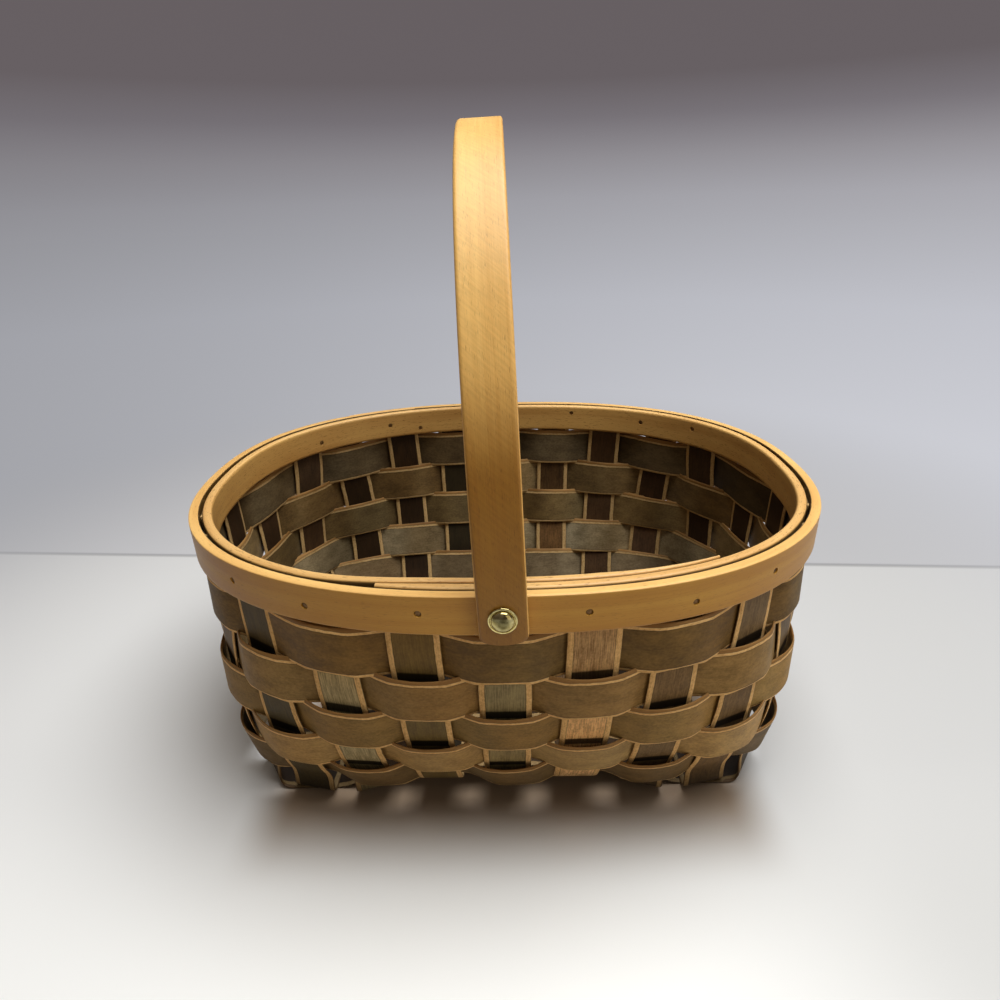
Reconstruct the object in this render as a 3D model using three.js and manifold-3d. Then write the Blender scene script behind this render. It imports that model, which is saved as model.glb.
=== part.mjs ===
// Splint basket with a swing handle: an oval market basket woven from flat wood splints,
// bound between two bent wood hoops, with a bent wood bail riveted to the rim.
// Millimetres, +Z up. The origin is at the bottom centre, X runs along the basket and -Y is its front.

import * as THREE from 'three';
import { mergeVertices } from 'three/addons/utils/BufferGeometryUtils.js';
import Module from 'manifold-3d';

const wasm = await Module();
wasm.setup();

// Rim outline, over the outer hoop
const rimLength = 356;
const rimWidth = 284;
const rimPower = 2.34;

// Base corners are squarer than the rim
const basePower = 4.8;

// Hoops
const hoopHeight = 19.5;
const outerHoopThickness = 4.8;
const innerHoopThickness = 4.4;
const outerHoopEase = 0.5;
const innerHoopEase = 0.9;
const hoopScarfLength = 50;
const hoopScarfPlace = -70;
const hoopScarfBlend = 12;
const hoopScarfTip = 0.72;
const hoopLapStart = -55.5;
const hoopLapLength = 160;
const hoopLapTaper = 60;
const hoopLapTip = 1.6;
const hoopCrossover = 70;
const hoopCrossoverPast = 32;

// Splints
const splintThickness = 1.3;
const splintWidth = 25;
const weaverWidth = 25.1;
const weaverRowCount = 5;
const rowGap = 0.5;
const topRowDrop = 1.8;
const weaverBow = 3.45;
const weaverBowSag = 1.6;
const weaverDip = 1.35;
const weaverLapReach = 5.4;
const uprightSway = 0.3;
const uprightTopDrop = 3.5;
const crossSplintCount = 7;
const longSplintCount = 5;

// Wall shape
const wallLean = THREE.MathUtils.degToRad(30);
const endLeanShare = 0.5;
const archRise = 14;
const bendDrop = 6;
const bendReach = 9.5;
const bendFullness = 0.55;
const sideMargin = 1.5;
const endMargin = 20.5;
const crossSplintFan = 1.075;
const longSplintFan = 1.05;

// Handle
const handleWidth = 21.2;
const handleThickness = 5;
const handleRise = 190.3;
const handlePower = 2.2;
const handleTail = 13;
const handleEndRound = 7;
const handleEndPower = 2.6;
const handleEase = 1.1;
const handleLean = THREE.MathUtils.degToRad(-2);

// Rivets
const rivetDrop = 7.5;
const rivetShank = 5;
const rivetFlange = 12.6;
const rivetFlangeThickness = 1.1;
const rivetFlangeEase = 0.45;
const rivetDome = 9.6;
const rivetDomeHeight = 2.8;
const burrDiameter = 11;
const burrThickness = 1.2;
const burrEase = 0.3;
const peenDiameter = 8;
const peenHeight = 1.3;

// Facets: the longest straight stretch of a hoop, steps along the handle's arch, in a bend of an upright
// and round a quarter of a dome, and sides of a round piece and of its hole
const hoopSpan = 15;
const archSteps = 44;
const bendSteps = 5;
const domeSteps = 4;
const roundSides = 20;
const holeSides = 16;

// Clearance between pieces that lie against each other
const pieceGap = 0.3;
const handleClearance = 0.5;
const innerHoopClearance = 0.95;
const curveAllowance = 0.05;

// Values worked out from the sizes above
const rowPitch = weaverWidth + rowGap;
const wallDepth = topRowDrop + weaverRowCount * rowPitch;
const weaveLift = splintThickness + pieceGap + curveAllowance;
const bowOut = weaveLift + weaverBow;
const bowIn = weaveLift + weaverDip;
const baseWave = (splintThickness + pieceGap) / 2;
const baseLevel = baseWave + splintThickness / 2;
const wallRadius = wallDepth / wallLean;
const wallTop = baseLevel + archRise + bendDrop + wallRadius * Math.sin(wallLean);
const rimTop = wallTop + hoopHeight;
const outerFaceOffset = splintThickness / 2 + pieceGap + curveAllowance;
const innerFaceOffset = splintThickness / 2 + innerHoopClearance;
const rimOffset = outerFaceOffset + outerHoopThickness;
const proudestOffset = Math.max(rimOffset, bowOut + splintThickness / 2);
const wallHalfLength = rimLength / 2 - rimOffset;
const wallHalfWidth = rimWidth / 2 - rimOffset;
const sideInset = wallRadius * (1 - Math.cos(wallLean));
const baseHalfLength = wallHalfLength - endLeanShare * sideInset;
const baseHalfWidth = wallHalfWidth - sideInset;
const crossSpan = 2 * (baseHalfLength - bendReach - endMargin) - splintWidth;
const longSpan = 2 * (baseHalfWidth - bendReach - sideMargin) - splintWidth;
const crossPitch = crossSpan / (crossSplintCount - 1);
const longPitch = longSpan / (longSplintCount - 1);
const lastCross = (crossSplintCount - 1) / 2;
const lastLong = (longSplintCount - 1) / 2;
const archStart = (lastCross - 2) * crossPitch + splintWidth / 2 + pieceGap;
const archEnd = lastCross * crossPitch - splintWidth / 2 - pieceGap;
const rivetLevel = rimTop - rivetDrop;
const handleReach = wallHalfWidth + proudestOffset + handleClearance + handleThickness / 2;

// Finishes, by piece
const finish = {
  hoop: { color: 0xd6a45c, roughness: 0.55, metalness: 0 },
  handle: { color: 0xdfae66, roughness: 0.5, metalness: 0 },
  weaver: { color: 0x54402b, roughness: 0.72, metalness: 0 },
  upright: { color: 0x4a4634, roughness: 0.74, metalness: 0 },
  brass: { color: 0xb08d3e, roughness: 0.35, metalness: 1 },
};

const group = new THREE.Group();
group.name = 'splint_basket';

function addPiece(name, geometry, look) {
  const mesh = new THREE.Mesh(geometry, new THREE.MeshStandardMaterial(look));
  mesh.name = name;
  group.add(mesh);
  return mesh;
}

// Turns a closed geometry into a solid for a cut, and back again
function toSolid(geometry) {
  const bare = geometry.clone();
  bare.deleteAttribute('normal');
  bare.deleteAttribute('uv');
  const merged = mergeVertices(bare, 1e-4);
  const mesh = new wasm.Mesh({
    numProp: 3,
    vertProperties: Float32Array.from(merged.attributes.position.array),
    triVerts: Uint32Array.from(merged.index.array),
  });
  return new wasm.Manifold(mesh);
}

function fromSolid(solid) {
  const mesh = solid.getMesh();
  const geometry = new THREE.BufferGeometry();
  geometry.setAttribute('position', new THREE.BufferAttribute(Float32Array.from(mesh.vertProperties), 3));
  geometry.setIndex(Array.from(mesh.triVerts));
  geometry.computeVertexNormals();
  return geometry;
}

// Lofts a closed body through a row of sections that all have the same number of points
function loft(sections) {
  const size = sections[0].length;
  const positions = sections.flat().flatMap((point) => [point.x, point.y, point.z]);
  const last = (sections.length - 1) * size;
  const triangles = [];
  for (let here = 0; here < last; here += size) {
    const next = here + size;
    for (let j = 0; j < size; j += 1) {
      const k = (j + 1) % size;
      triangles.push(here + j, here + k, next + k);
      triangles.push(here + j, next + k, next + j);
    }
  }
  for (let j = 1; j < size - 1; j += 1) {
    triangles.push(0, j + 1, j);
    triangles.push(last, last + j, last + j + 1);
  }
  const geometry = new THREE.BufferGeometry();
  geometry.setAttribute('position', new THREE.Float32BufferAttribute(positions, 3));
  geometry.setIndex(signedVolume(positions, triangles) < 0 ? triangles.reverse() : triangles);
  geometry.computeVertexNormals();
  return geometry;
}

function signedVolume(positions, triangles) {
  const corner = (index) => new THREE.Vector3().fromArray(positions, 3 * index);
  let volume = 0;
  for (let i = 0; i < triangles.length; i += 3) {
    const [a, b, c] = [triangles[i], triangles[i + 1], triangles[i + 2]].map(corner);
    volume += a.dot(b.cross(c)) / 6;
  }
  return volume;
}

// Outline of the wall at a distance v down it: v is 0 under the hoops and negative between them
const levels = new Map();

function wallLevel(v) {
  if (!levels.has(v)) {
    const down = Math.max(v, 0);
    const lean = down / wallRadius;
    const inset = wallRadius * (1 - Math.cos(lean));
    const level = {
      a: wallHalfLength - endLeanShare * inset,
      b: wallHalfWidth - inset,
      n: rimPower + (basePower - rimPower) * (down / wallDepth) ** 2,
      z: wallTop - wallRadius * Math.sin(lean) - Math.min(v, 0),
    };
    level.arcs = arcTable(level);
    levels.set(v, level);
  }
  return levels.get(v);
}

function outlineRadius(level, angle) {
  const along = Math.abs(Math.cos(angle) / level.a) ** level.n;
  const across = Math.abs(Math.sin(angle) / level.b) ** level.n;
  return (along + across) ** (-1 / level.n);
}

function outlineNormal(level, x, y) {
  const nx = (Math.sign(x) * Math.abs(x / level.a) ** (level.n - 1)) / level.a;
  const ny = (Math.sign(y) * Math.abs(y / level.b) ** (level.n - 1)) / level.b;
  return new THREE.Vector3(nx, ny, 0).normalize();
}

// Running length round an outline, from its left front corner anticlockwise, measured in small steps
const arcSteps = 720;
const arcStart = Math.atan2(-wallHalfWidth, -wallHalfLength);

function arcTable(level) {
  const lengths = [0];
  let before = null;
  for (let i = 0; i <= arcSteps; i += 1) {
    const angle = arcStart + (i / arcSteps) * 2 * Math.PI;
    const radius = outlineRadius(level, angle);
    const here = new THREE.Vector2(radius * Math.cos(angle), radius * Math.sin(angle));
    if (before) {
      lengths.push(lengths[i - 1] + here.distanceTo(before));
    }
    before = here;
  }
  return lengths;
}

function perimeter(level) {
  return level.arcs[arcSteps];
}

function angleAtArc(level, arc) {
  const whole = perimeter(level);
  const wanted = ((arc % whole) + whole) % whole;
  let low = 0;
  let high = arcSteps;
  while (high - low > 1) {
    const middle = (low + high) >> 1;
    if (level.arcs[middle] <= wanted) {
      low = middle;
    } else {
      high = middle;
    }
  }
  const share = (wanted - level.arcs[low]) / (level.arcs[high] - level.arcs[low]);
  return arcStart + ((low + share) / arcSteps) * 2 * Math.PI;
}

function arcAtPoint(level, x, y) {
  const turn = 2 * Math.PI;
  const angle = (((Math.atan2(y, x) - arcStart) % turn) + turn) % turn;
  const step = (angle / turn) * arcSteps;
  const low = Math.min(Math.floor(step), arcSteps - 1);
  return level.arcs[low] + (step - low) * (level.arcs[low + 1] - level.arcs[low]);
}

// Height over which the slope of the wall is measured
const slopeStep = 0.5;

// A point of the wall at a running length round level v, moved off the wall along its outward normal
function wallPoint(v, arc, offset) {
  const level = wallLevel(v);
  const angle = angleAtArc(level, arc);
  const radius = outlineRadius(level, angle);
  const point = new THREE.Vector3(radius * Math.cos(angle), radius * Math.sin(angle), level.z);
  const normal = outlineNormal(level, point.x, point.y);
  if (v > 0) {
    const above = wallLevel(v - slopeStep);
    const upRadius = outlineRadius(above, angle);
    const up = new THREE.Vector3(upRadius * Math.cos(angle), upRadius * Math.sin(angle), above.z).sub(point);
    const along = new THREE.Vector3(-normal.y, normal.x, 0);
    normal.copy(along.cross(up).normalize());
  }
  return point.addScaledVector(normal, offset);
}

// The uprights in their order round the wall from the left front corner. Each splint is a cross one,
// which runs from the front to the back, or a long one, which runs from end to end.
function listUprights() {
  const list = [];
  for (let i = -lastCross; i <= lastCross; i += 1) {
    list.push({ kind: 'cross', index: i, side: -1 });
  }
  for (let j = -lastLong; j <= lastLong; j += 1) {
    list.push({ kind: 'long', index: j, side: 1 });
  }
  for (let i = lastCross; i >= -lastCross; i -= 1) {
    list.push({ kind: 'cross', index: i, side: 1 });
  }
  for (let j = lastLong; j >= -lastLong; j -= 1) {
    list.push({ kind: 'long', index: j, side: -1 });
  }
  return list;
}

const uprights = listUprights();

function isOutside(order, row) {
  return (order + row) % 2 === 1;
}

// Uprights stand a little further apart at the rim than in the base
function uprightArc(v, upright) {
  const level = wallLevel(v);
  const fan = (atRim) => THREE.MathUtils.lerp(atRim, 1, Math.max(v, 0) / wallDepth);
  if (upright.kind === 'cross') {
    const x = upright.index * crossPitch * fan(crossSplintFan);
    const y = level.b * (1 - Math.abs(x / level.a) ** level.n) ** (1 / level.n);
    return arcAtPoint(level, x, upright.side * y);
  }
  const y = upright.index * longPitch * fan(longSplintFan);
  const x = level.a * (1 - Math.abs(y / level.b) ** level.n) ** (1 / level.n);
  return arcAtPoint(level, upright.side * x, y);
}

// A flat strip between two edge lines. Its thickness lies square to the strip, half on each side, and
// ease takes a small bevel off the long edges.
function strip(edgeA, edgeB, thickness, ease) {
  const sections = edgeA.map((a, i) => {
    const b = edgeB[i];
    const before = Math.max(i - 1, 0);
    const after = Math.min(i + 1, edgeA.length - 1);
    const middle = (k) => edgeA[k].clone().add(edgeB[k]).multiplyScalar(0.5);
    const along = middle(after).sub(middle(before)).normalize();
    const across = b.clone().sub(a).normalize();
    const normal = along.cross(across).normalize();
    const half = (typeof thickness === 'number' ? thickness : thickness[i]) / 2;
    const corner = (edge, inward, lift) =>
      edge.clone().addScaledVector(across, inward).addScaledVector(normal, lift);
    if (!ease) {
      return [corner(a, 0, -half), corner(b, 0, -half), corner(b, 0, half), corner(a, 0, half)];
    }
    const cut = Math.min(ease, half - curveAllowance);
    return [
      corner(a, cut, -half),
      corner(b, -cut, -half),
      corner(b, 0, cut - half),
      corner(b, 0, half - cut),
      corner(b, -cut, half),
      corner(a, cut, half),
      corner(a, 0, half - cut),
      corner(a, 0, cut - half),
    ];
  });
  return loft(sections);
}

// A pin across the rim and the handle, for the rivet holes
function rivetHole(side) {
  const radius = rivetShank / 2 + pieceGap;
  const length = 2 * (proudestOffset + handleThickness + 3 * innerHoopThickness);
  const hole = new THREE.CylinderGeometry(radius, radius, length, holeSides);
  hole.translate(0, side * wallHalfWidth, rivetLevel);
  return toSolid(hole);
}

function drillRivetHoles(geometry) {
  const drilled = toSolid(geometry).subtract(rivetHole(-1)).subtract(rivetHole(1));
  return fromSolid(drilled);
}

// Upright splints

// Sway of an upright off the middle of the wall: it leans to the side that it shows on in each row
function uprightOffset(order, v) {
  const rowsDown = (v - topRowDrop) / rowPitch;
  const row = Math.floor(rowsDown) + 1;
  const within = rowsDown - (row - 1);
  if (rowsDown <= 0 || row > weaverRowCount) {
    return 0;
  }
  const side = isOutside(order, row) ? 1 : -1;
  return side * uprightSway * Math.sin(Math.PI * within);
}

function wallStretch(order) {
  const upright = uprights[order];
  const stations = [uprightTopDrop - hoopHeight];
  for (let half = 0; half <= 2 * weaverRowCount; half += 1) {
    stations.push(topRowDrop + (half / 2) * rowPitch);
  }
  return stations.map((v) => {
    const arc = uprightArc(v, upright);
    const offset = uprightOffset(order, v);
    return [wallPoint(v, arc - splintWidth / 2, offset), wallPoint(v, arc + splintWidth / 2, offset)];
  });
}

// The base is pushed up between its ends, so that the basket stands on its outermost cross splints
function archAt(x) {
  return archRise * (1 - THREE.MathUtils.smoothstep(Math.abs(x), archStart, archEnd));
}

// Height of a base splint above or below the middle of the weave, at a place along it
function baseHeight(kind, index, place) {
  const pitch = kind === 'cross' ? longPitch : crossPitch;
  const last = kind === 'cross' ? lastLong : lastCross;
  const side = (crossing) => ((index + crossing) % 2 === 0 ? -1 : 1) * (kind === 'cross' ? 1 : -1);
  const raw = THREE.MathUtils.clamp(place / pitch, -last, last);
  const near = Math.min(Math.floor(raw), last - 1);
  const flat = (splintWidth / 2 + pieceGap) / pitch;
  const share = THREE.MathUtils.smoothstep(raw - near, flat, 1 - flat);
  return baseLevel + baseWave * THREE.MathUtils.lerp(side(near), side(near + 1), share);
}

function baseStations(kind, reach) {
  const pitch = kind === 'cross' ? longPitch : crossPitch;
  const last = kind === 'cross' ? lastLong : lastCross;
  const flat = splintWidth / 2 + pieceGap;
  const places = [];
  for (let crossing = -last; crossing <= last; crossing += 1) {
    places.push(crossing * pitch - flat, crossing * pitch + flat);
    if (crossing < last) {
      places.push((crossing + 0.5) * pitch);
    }
  }
  return places.filter((place) => Math.abs(place) < reach - pieceGap).sort((p, q) => p - q);
}

// The bend from the wall to the base, along one edge of an upright
function bend(from, above, to, inward) {
  const start = from.clone().sub(above).normalize();
  const length = bendFullness * from.distanceTo(to);
  const curve = new THREE.CubicBezierCurve3(
    from,
    from.clone().addScaledVector(start, length),
    to.clone().addScaledVector(inward, -length),
    to,
  );
  return curve.getPoints(bendSteps);
}

function uprightSplint(kind, index) {
  const orderOf = (side) =>
    uprights.findIndex((one) => one.kind === kind && one.index === index && one.side === side);
  const pitch = kind === 'cross' ? crossPitch : longPitch;
  const place = (across, along, height) =>
    kind === 'cross' ? new THREE.Vector3(across, along, height) : new THREE.Vector3(along, across, height);
  const basePlace = (across, along) => {
    const arch = archAt(kind === 'cross' ? across : along);
    return place(across, along, baseHeight(kind, index, along) + arch);
  };
  const runDown = (side) => {
    const wall = wallStretch(orderOf(side));
    const flipped = (kind === 'cross') === (side > 0);
    const lines = flipped ? wall.map(([left, right]) => [right, left]) : wall;
    const inward = place(0, -side, 0);
    const bottom = lines[lines.length - 1];
    const above = lines[lines.length - 2];
    const bends = bottom.map((corner, edge) => {
      const across = index * pitch + (edge === 0 ? -1 : 1) * (splintWidth / 2);
      const along = (kind === 'cross' ? corner.y : corner.x) - side * bendReach;
      return bend(corner, above[edge], basePlace(across, along), inward);
    });
    const tail = bends[0].slice(1).map((point, i) => [point, bends[1][i + 1]]);
    return lines.concat(tail);
  };
  const first = runDown(-1);
  const second = runDown(1);
  const reachOf = (run) => {
    const end = run[run.length - 1];
    return Math.min(...end.map((corner) => Math.abs(kind === 'cross' ? corner.y : corner.x)));
  };
  const base = baseStations(kind, Math.min(reachOf(first), reachOf(second))).map((along) => {
    const edge = (side) => basePlace(index * pitch + (side * splintWidth) / 2, along);
    return [edge(-1), edge(1)];
  });
  const run = first.concat(base, second.reverse());
  return strip(run.map((pair) => pair[0]), run.map((pair) => pair[1]), splintThickness, 0);
}

const crossNames = ['a', 'b', 'c', 'd', 'e', 'f', 'g'];
for (let i = -lastCross; i <= lastCross; i += 1) {
  const name = `cross_splint_${crossNames[i + lastCross] ?? i + lastCross}`;
  const geometry = uprightSplint('cross', i);
  addPiece(name, i === 0 ? drillRivetHoles(geometry) : geometry, finish.upright);
}
for (let j = -lastLong; j <= lastLong; j += 1) {
  addPiece(`long_splint_${j + lastLong + 1}`, uprightSplint('long', j), finish.upright);
}

// Weavers

// Places of a weaver's stations round a row, with its distance off the wall at each. It passes each upright
// in a shallow arch: place is 0 over the middle of the upright and 1 at its edges.
function weaverPath(row, lapOrder) {
  const rest = splintWidth / 2 + pieceGap;
  const shape = (order, place) =>
    isOutside(order, row) ? weaverDip * place ** 2 - bowIn : bowOut - weaverBowSag * place ** 2;
  const path = [];
  const add = (order, shift, offset) => path.push({ order, shift, offset });
  const fullPass = (order) => {
    add(order, -rest, shape(order, 1));
    add(order, -rest / 2, shape(order, 1 / 2));
    add(order, 0, shape(order, 0));
    add(order, rest / 2, shape(order, 1 / 2));
    add(order, rest, shape(order, 1));
  };
  const lapLayer = splintThickness + pieceGap;
  const lapOffset = shape(lapOrder, weaverLapReach / rest);
  add(lapOrder, -weaverLapReach, lapOffset);
  add(lapOrder, 0, shape(lapOrder, 0));
  add(lapOrder, rest / 2, shape(lapOrder, 1 / 2));
  add(lapOrder, rest, shape(lapOrder, 1));
  for (let step = 1; step < uprights.length; step += 1) {
    fullPass(lapOrder + step);
  }
  add(lapOrder + uprights.length, -rest, shape(lapOrder, 1));
  add(lapOrder + uprights.length, -rest / 2, shape(lapOrder, 1 / 2) - lapLayer);
  add(lapOrder + uprights.length, 0, shape(lapOrder, 0) - lapLayer);
  add(lapOrder + uprights.length, weaverLapReach, lapOffset - lapLayer);
  return path;
}

function weaverEdge(v, path) {
  const whole = perimeter(wallLevel(v));
  const count = uprights.length;
  const arcOf = ({ order, shift }) =>
    uprightArc(v, uprights[order % count]) + shift + whole * Math.floor(order / count);
  const kindOf = ({ order }) => uprights[order % count].kind;
  const points = [];
  path.forEach((station, i) => {
    const arc = arcOf(station);
    const before = path[i - 1];
    if (before && kindOf(before) !== kindOf(station)) {
      const start = arcOf(before);
      for (const share of [1 / 3, 2 / 3]) {
        const offset = THREE.MathUtils.lerp(before.offset, station.offset, share);
        points.push(wallPoint(v, THREE.MathUtils.lerp(start, arc, share), offset));
      }
    }
    points.push(wallPoint(v, arc, station.offset));
  });
  return points;
}

// The upright over which each row laps its own ends, staggered so that no two laps lie together
const lapOrders = [1, 16, 13, 20, 9];

for (let row = 1; row <= weaverRowCount; row += 1) {
  const path = weaverPath(row, lapOrders[(row - 1) % lapOrders.length]);
  const rowTop = topRowDrop + (row - 1) * rowPitch + rowGap / 2;
  const top = weaverEdge(rowTop, path);
  const bottom = weaverEdge(rowTop + weaverWidth, path);
  addPiece(`weaver_row_${row}`, strip(top, bottom, splintThickness, 0), finish.weaver);
}

// Hoops

// A hoop strip: faces(s) gives the offsets of its outer and inner face at a length s along it
function hoop(startX, side, length, faces, breaks, ease) {
  const level = wallLevel(0);
  const y = side * level.b * (1 - Math.abs(startX / level.a) ** level.n) ** (1 / level.n);
  const start = arcAtPoint(level, startX, y);
  const steps = Math.ceil(length / hoopSpan);
  const even = Array.from({ length: steps + 1 }, (_, i) => (i / steps) * length);
  const places = [...new Set([...even, ...breaks])].sort((p, q) => p - q);
  const spaced = places.filter((s, i) => i === 0 || breaks.includes(s) || s - places[i - 1] > 1);
  const thickness = [];
  const edges = spaced.map((s) => {
    const { outer, inner } = faces(s);
    thickness.push(outer - inner);
    const middle = (outer + inner) / 2;
    return [wallPoint(-hoopHeight, start + s, middle), wallPoint(0, start + s, middle)];
  });
  return strip(edges.map((pair) => pair[0]), edges.map((pair) => pair[1]), thickness, ease);
}

// The outer hoop closes in a scarf: two long tapers, one on the other, at the back beside the handle
function outerHoop() {
  const whole = perimeter(wallLevel(0));
  const thin = hoopScarfTip;
  const split = (s) => thin + (outerHoopThickness - 2 * thin) * (s / hoopScarfLength);
  const outer = rimOffset;
  const inner = outerFaceOffset;
  const faces = (s) => {
    if (s < hoopScarfLength) {
      return { outer: inner + split(s) - pieceGap / 2, inner };
    }
    if (s < hoopScarfLength + hoopScarfBlend) {
      const share = (s - hoopScarfLength) / hoopScarfBlend;
      return { outer: THREE.MathUtils.lerp(outer - thin - pieceGap / 2, outer, share), inner };
    }
    if (s > whole) {
      return { outer, inner: inner + split(s - whole) + pieceGap / 2 };
    }
    if (s > whole - hoopScarfBlend) {
      const share = (whole - s) / hoopScarfBlend;
      return { outer, inner: THREE.MathUtils.lerp(inner + thin + pieceGap / 2, inner, share) };
    }
    return { outer, inner };
  };
  const length = whole + hoopScarfLength;
  const breaks = [hoopScarfLength, hoopScarfLength + hoopScarfBlend, whole - hoopScarfBlend, whole];
  return hoop(hoopScarfPlace, 1, length, faces, breaks, outerHoopEase);
}

// The inner hoop is one long strip. It starts with a butt end against the uprights, runs once round,
// crosses to the inside of its own start and laps it along the front, thinned at the end. Its start is
// thinned too, so that the lap crosses it in one easy curve.
function innerHoop() {
  const whole = perimeter(wallLevel(0));
  const outerLayer = -innerFaceOffset;
  const innerLayer = outerLayer - innerHoopThickness - pieceGap;
  const length = whole + hoopLapLength;
  const settled = whole + hoopCrossoverPast;
  const outerFace = (s) => {
    const share = THREE.MathUtils.smoothstep(s, settled - hoopCrossover, settled);
    return THREE.MathUtils.lerp(outerLayer, innerLayer, share);
  };
  const faces = (s) => {
    const outer = outerFace(s);
    if (s < hoopCrossoverPast) {
      return { outer, inner: outerFace(s + whole) + pieceGap };
    }
    const taper = THREE.MathUtils.clamp((length - s) / hoopLapTaper, 0, 1);
    return { outer, inner: outer - THREE.MathUtils.lerp(hoopLapTip, innerHoopThickness, taper) };
  };
  const breaks = [hoopCrossoverPast, settled - hoopCrossover, settled, length - hoopLapTaper];
  return hoop(hoopLapStart, -1, length, faces, breaks, innerHoopEase);
}

addPiece('outer_hoop', drillRivetHoles(outerHoop()), finish.hoop);
addPiece('inner_hoop', drillRivetHoles(innerHoop()), finish.hoop);

// Handle: one bent strip, an oval arch with straight tails below the rivets. The shares are the stations
// up the rounding of each end.
const endShares = [0, 0.06, 0.22, 0.5, 1];

function handleBail() {
  const stations = [];
  const tail = (side) =>
    endShares.map((share) => ({ y: side * handleReach, z: -handleTail + share * handleEndRound, share }));
  stations.push(...tail(-1));
  for (let i = 0; i <= archSteps; i += 1) {
    const angle = Math.PI * (1 - i / archSteps);
    const along = Math.abs(Math.cos(angle) / handleReach) ** handlePower;
    const up = Math.abs(Math.sin(angle) / handleRise) ** handlePower;
    const radius = (along + up) ** (-1 / handlePower);
    stations.push({ y: radius * Math.cos(angle), z: radius * Math.sin(angle), share: 1 });
  }
  stations.push(...tail(1).reverse());
  const round = (share) => (1 - (1 - share) ** handleEndPower) ** (1 / handleEndPower);
  const half = (share) => (handleWidth / 2) * round(Math.max(share, endShares[1] / 3));
  const edge = (side) =>
    stations.map(({ y, z, share }) => new THREE.Vector3(side * half(share), y, rivetLevel + z));
  return strip(edge(-1), edge(1), handleThickness, handleEase);
}

// The handle was left standing a little off upright, and that is where its hinge reads zero
function leanOnRivets(geometry) {
  geometry.translate(0, 0, -rivetLevel);
  geometry.rotateY(handleLean);
  geometry.translate(0, 0, rivetLevel);
  return geometry;
}

addPiece('handle', drillRivetHoles(leanOnRivets(handleBail())), finish.handle);

// Rivets: a flanged dome outside the handle, a shank through the rim and a peened end on a loose ring
function placeOnRivetAxis(geometry, side) {
  geometry.rotateX(side > 0 ? 0 : Math.PI);
  geometry.translate(0, 0, rivetLevel);
  return geometry;
}

// Distance from the middle of the basket to the inner face of the rim at a rivet
function innerReach(isFront) {
  const layers = isFront ? 2 * innerHoopThickness + pieceGap : innerHoopThickness;
  return wallHalfWidth - innerFaceOffset - layers;
}

function burr(isFront) {
  const outerFace = innerReach(isFront) - pieceGap;
  const hole = rivetShank / 2 + pieceGap;
  const rim = burrDiameter / 2;
  const profile = [
    [hole, outerFace - burrThickness],
    [rim - burrEase, outerFace - burrThickness],
    [rim, outerFace - burrThickness + burrEase],
    [rim, outerFace],
    [hole, outerFace],
    [hole, outerFace - burrThickness],
  ];
  return new THREE.LatheGeometry(profile.map(([x, y]) => new THREE.Vector2(x, y)), roundSides);
}

function rivet(isFront) {
  const shank = rivetShank / 2;
  const peenTop = innerReach(isFront) - burrThickness - 2 * pieceGap;
  const flangeFace = handleReach + handleThickness / 2 + pieceGap;
  const flangeTop = flangeFace + rivetFlangeThickness;
  const profile = [[0, peenTop - peenHeight]];
  for (let i = 1; i <= domeSteps; i += 1) {
    const angle = (i / domeSteps) * (Math.PI / 2);
    profile.push([(peenDiameter / 2) * Math.sin(angle), peenTop - peenHeight * Math.cos(angle)]);
  }
  profile.push([shank, peenTop], [shank, flangeFace], [rivetFlange / 2, flangeFace]);
  profile.push([rivetFlange / 2, flangeTop - rivetFlangeEase]);
  profile.push([rivetFlange / 2 - rivetFlangeEase, flangeTop]);
  for (let i = 0; i < domeSteps; i += 1) {
    const angle = (i / domeSteps) * (Math.PI / 2);
    profile.push([(rivetDome / 2) * Math.cos(angle), flangeTop + rivetDomeHeight * Math.sin(angle)]);
  }
  profile.push([0, flangeTop + rivetDomeHeight]);
  return new THREE.LatheGeometry(profile.map(([x, y]) => new THREE.Vector2(x, y)), roundSides);
}

for (const [place, side] of [['front', -1], ['back', 1]]) {
  addPiece(`rivet_${place}`, placeOnRivetAxis(rivet(side < 0), side), finish.brass);
  addPiece(`rivet_burr_${place}`, placeOnRivetAxis(burr(side < 0), side), finish.brass);
}

export default group;
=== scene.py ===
"""Looks of a splint basket with a swing handle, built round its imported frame. Metres, +Z up.

Path work is in millimetres, because that is how the maker's sizes read, and meshes are in metres.
"""

import bisect
import logging
import math
from dataclasses import dataclass, field
from enum import Enum
from typing import Any, Callable, Sequence

import bmesh
import bpy
from mathutils import Matrix, Vector, noise


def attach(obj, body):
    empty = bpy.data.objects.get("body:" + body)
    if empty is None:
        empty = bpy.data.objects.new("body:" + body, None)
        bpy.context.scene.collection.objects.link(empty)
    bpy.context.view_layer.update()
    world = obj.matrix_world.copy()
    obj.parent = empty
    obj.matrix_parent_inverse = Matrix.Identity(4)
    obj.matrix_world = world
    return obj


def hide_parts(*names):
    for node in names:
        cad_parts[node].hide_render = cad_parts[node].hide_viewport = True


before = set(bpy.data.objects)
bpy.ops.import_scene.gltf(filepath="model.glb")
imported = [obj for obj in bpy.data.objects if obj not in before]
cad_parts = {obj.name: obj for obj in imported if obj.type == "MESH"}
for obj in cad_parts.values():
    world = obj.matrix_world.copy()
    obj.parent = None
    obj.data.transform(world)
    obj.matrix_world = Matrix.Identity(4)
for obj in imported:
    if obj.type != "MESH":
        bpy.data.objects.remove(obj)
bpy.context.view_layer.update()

Colour = tuple[float, float, float, float]
Place = tuple[float, float, float]

LOG = logging.getLogger("splint_basket")
MM = 0.001
WELD = 1e-7
DRILLED_SHARP = 50
UNTINTED: Colour = (1.0, 1.0, 1.0, 1.0)

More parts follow.
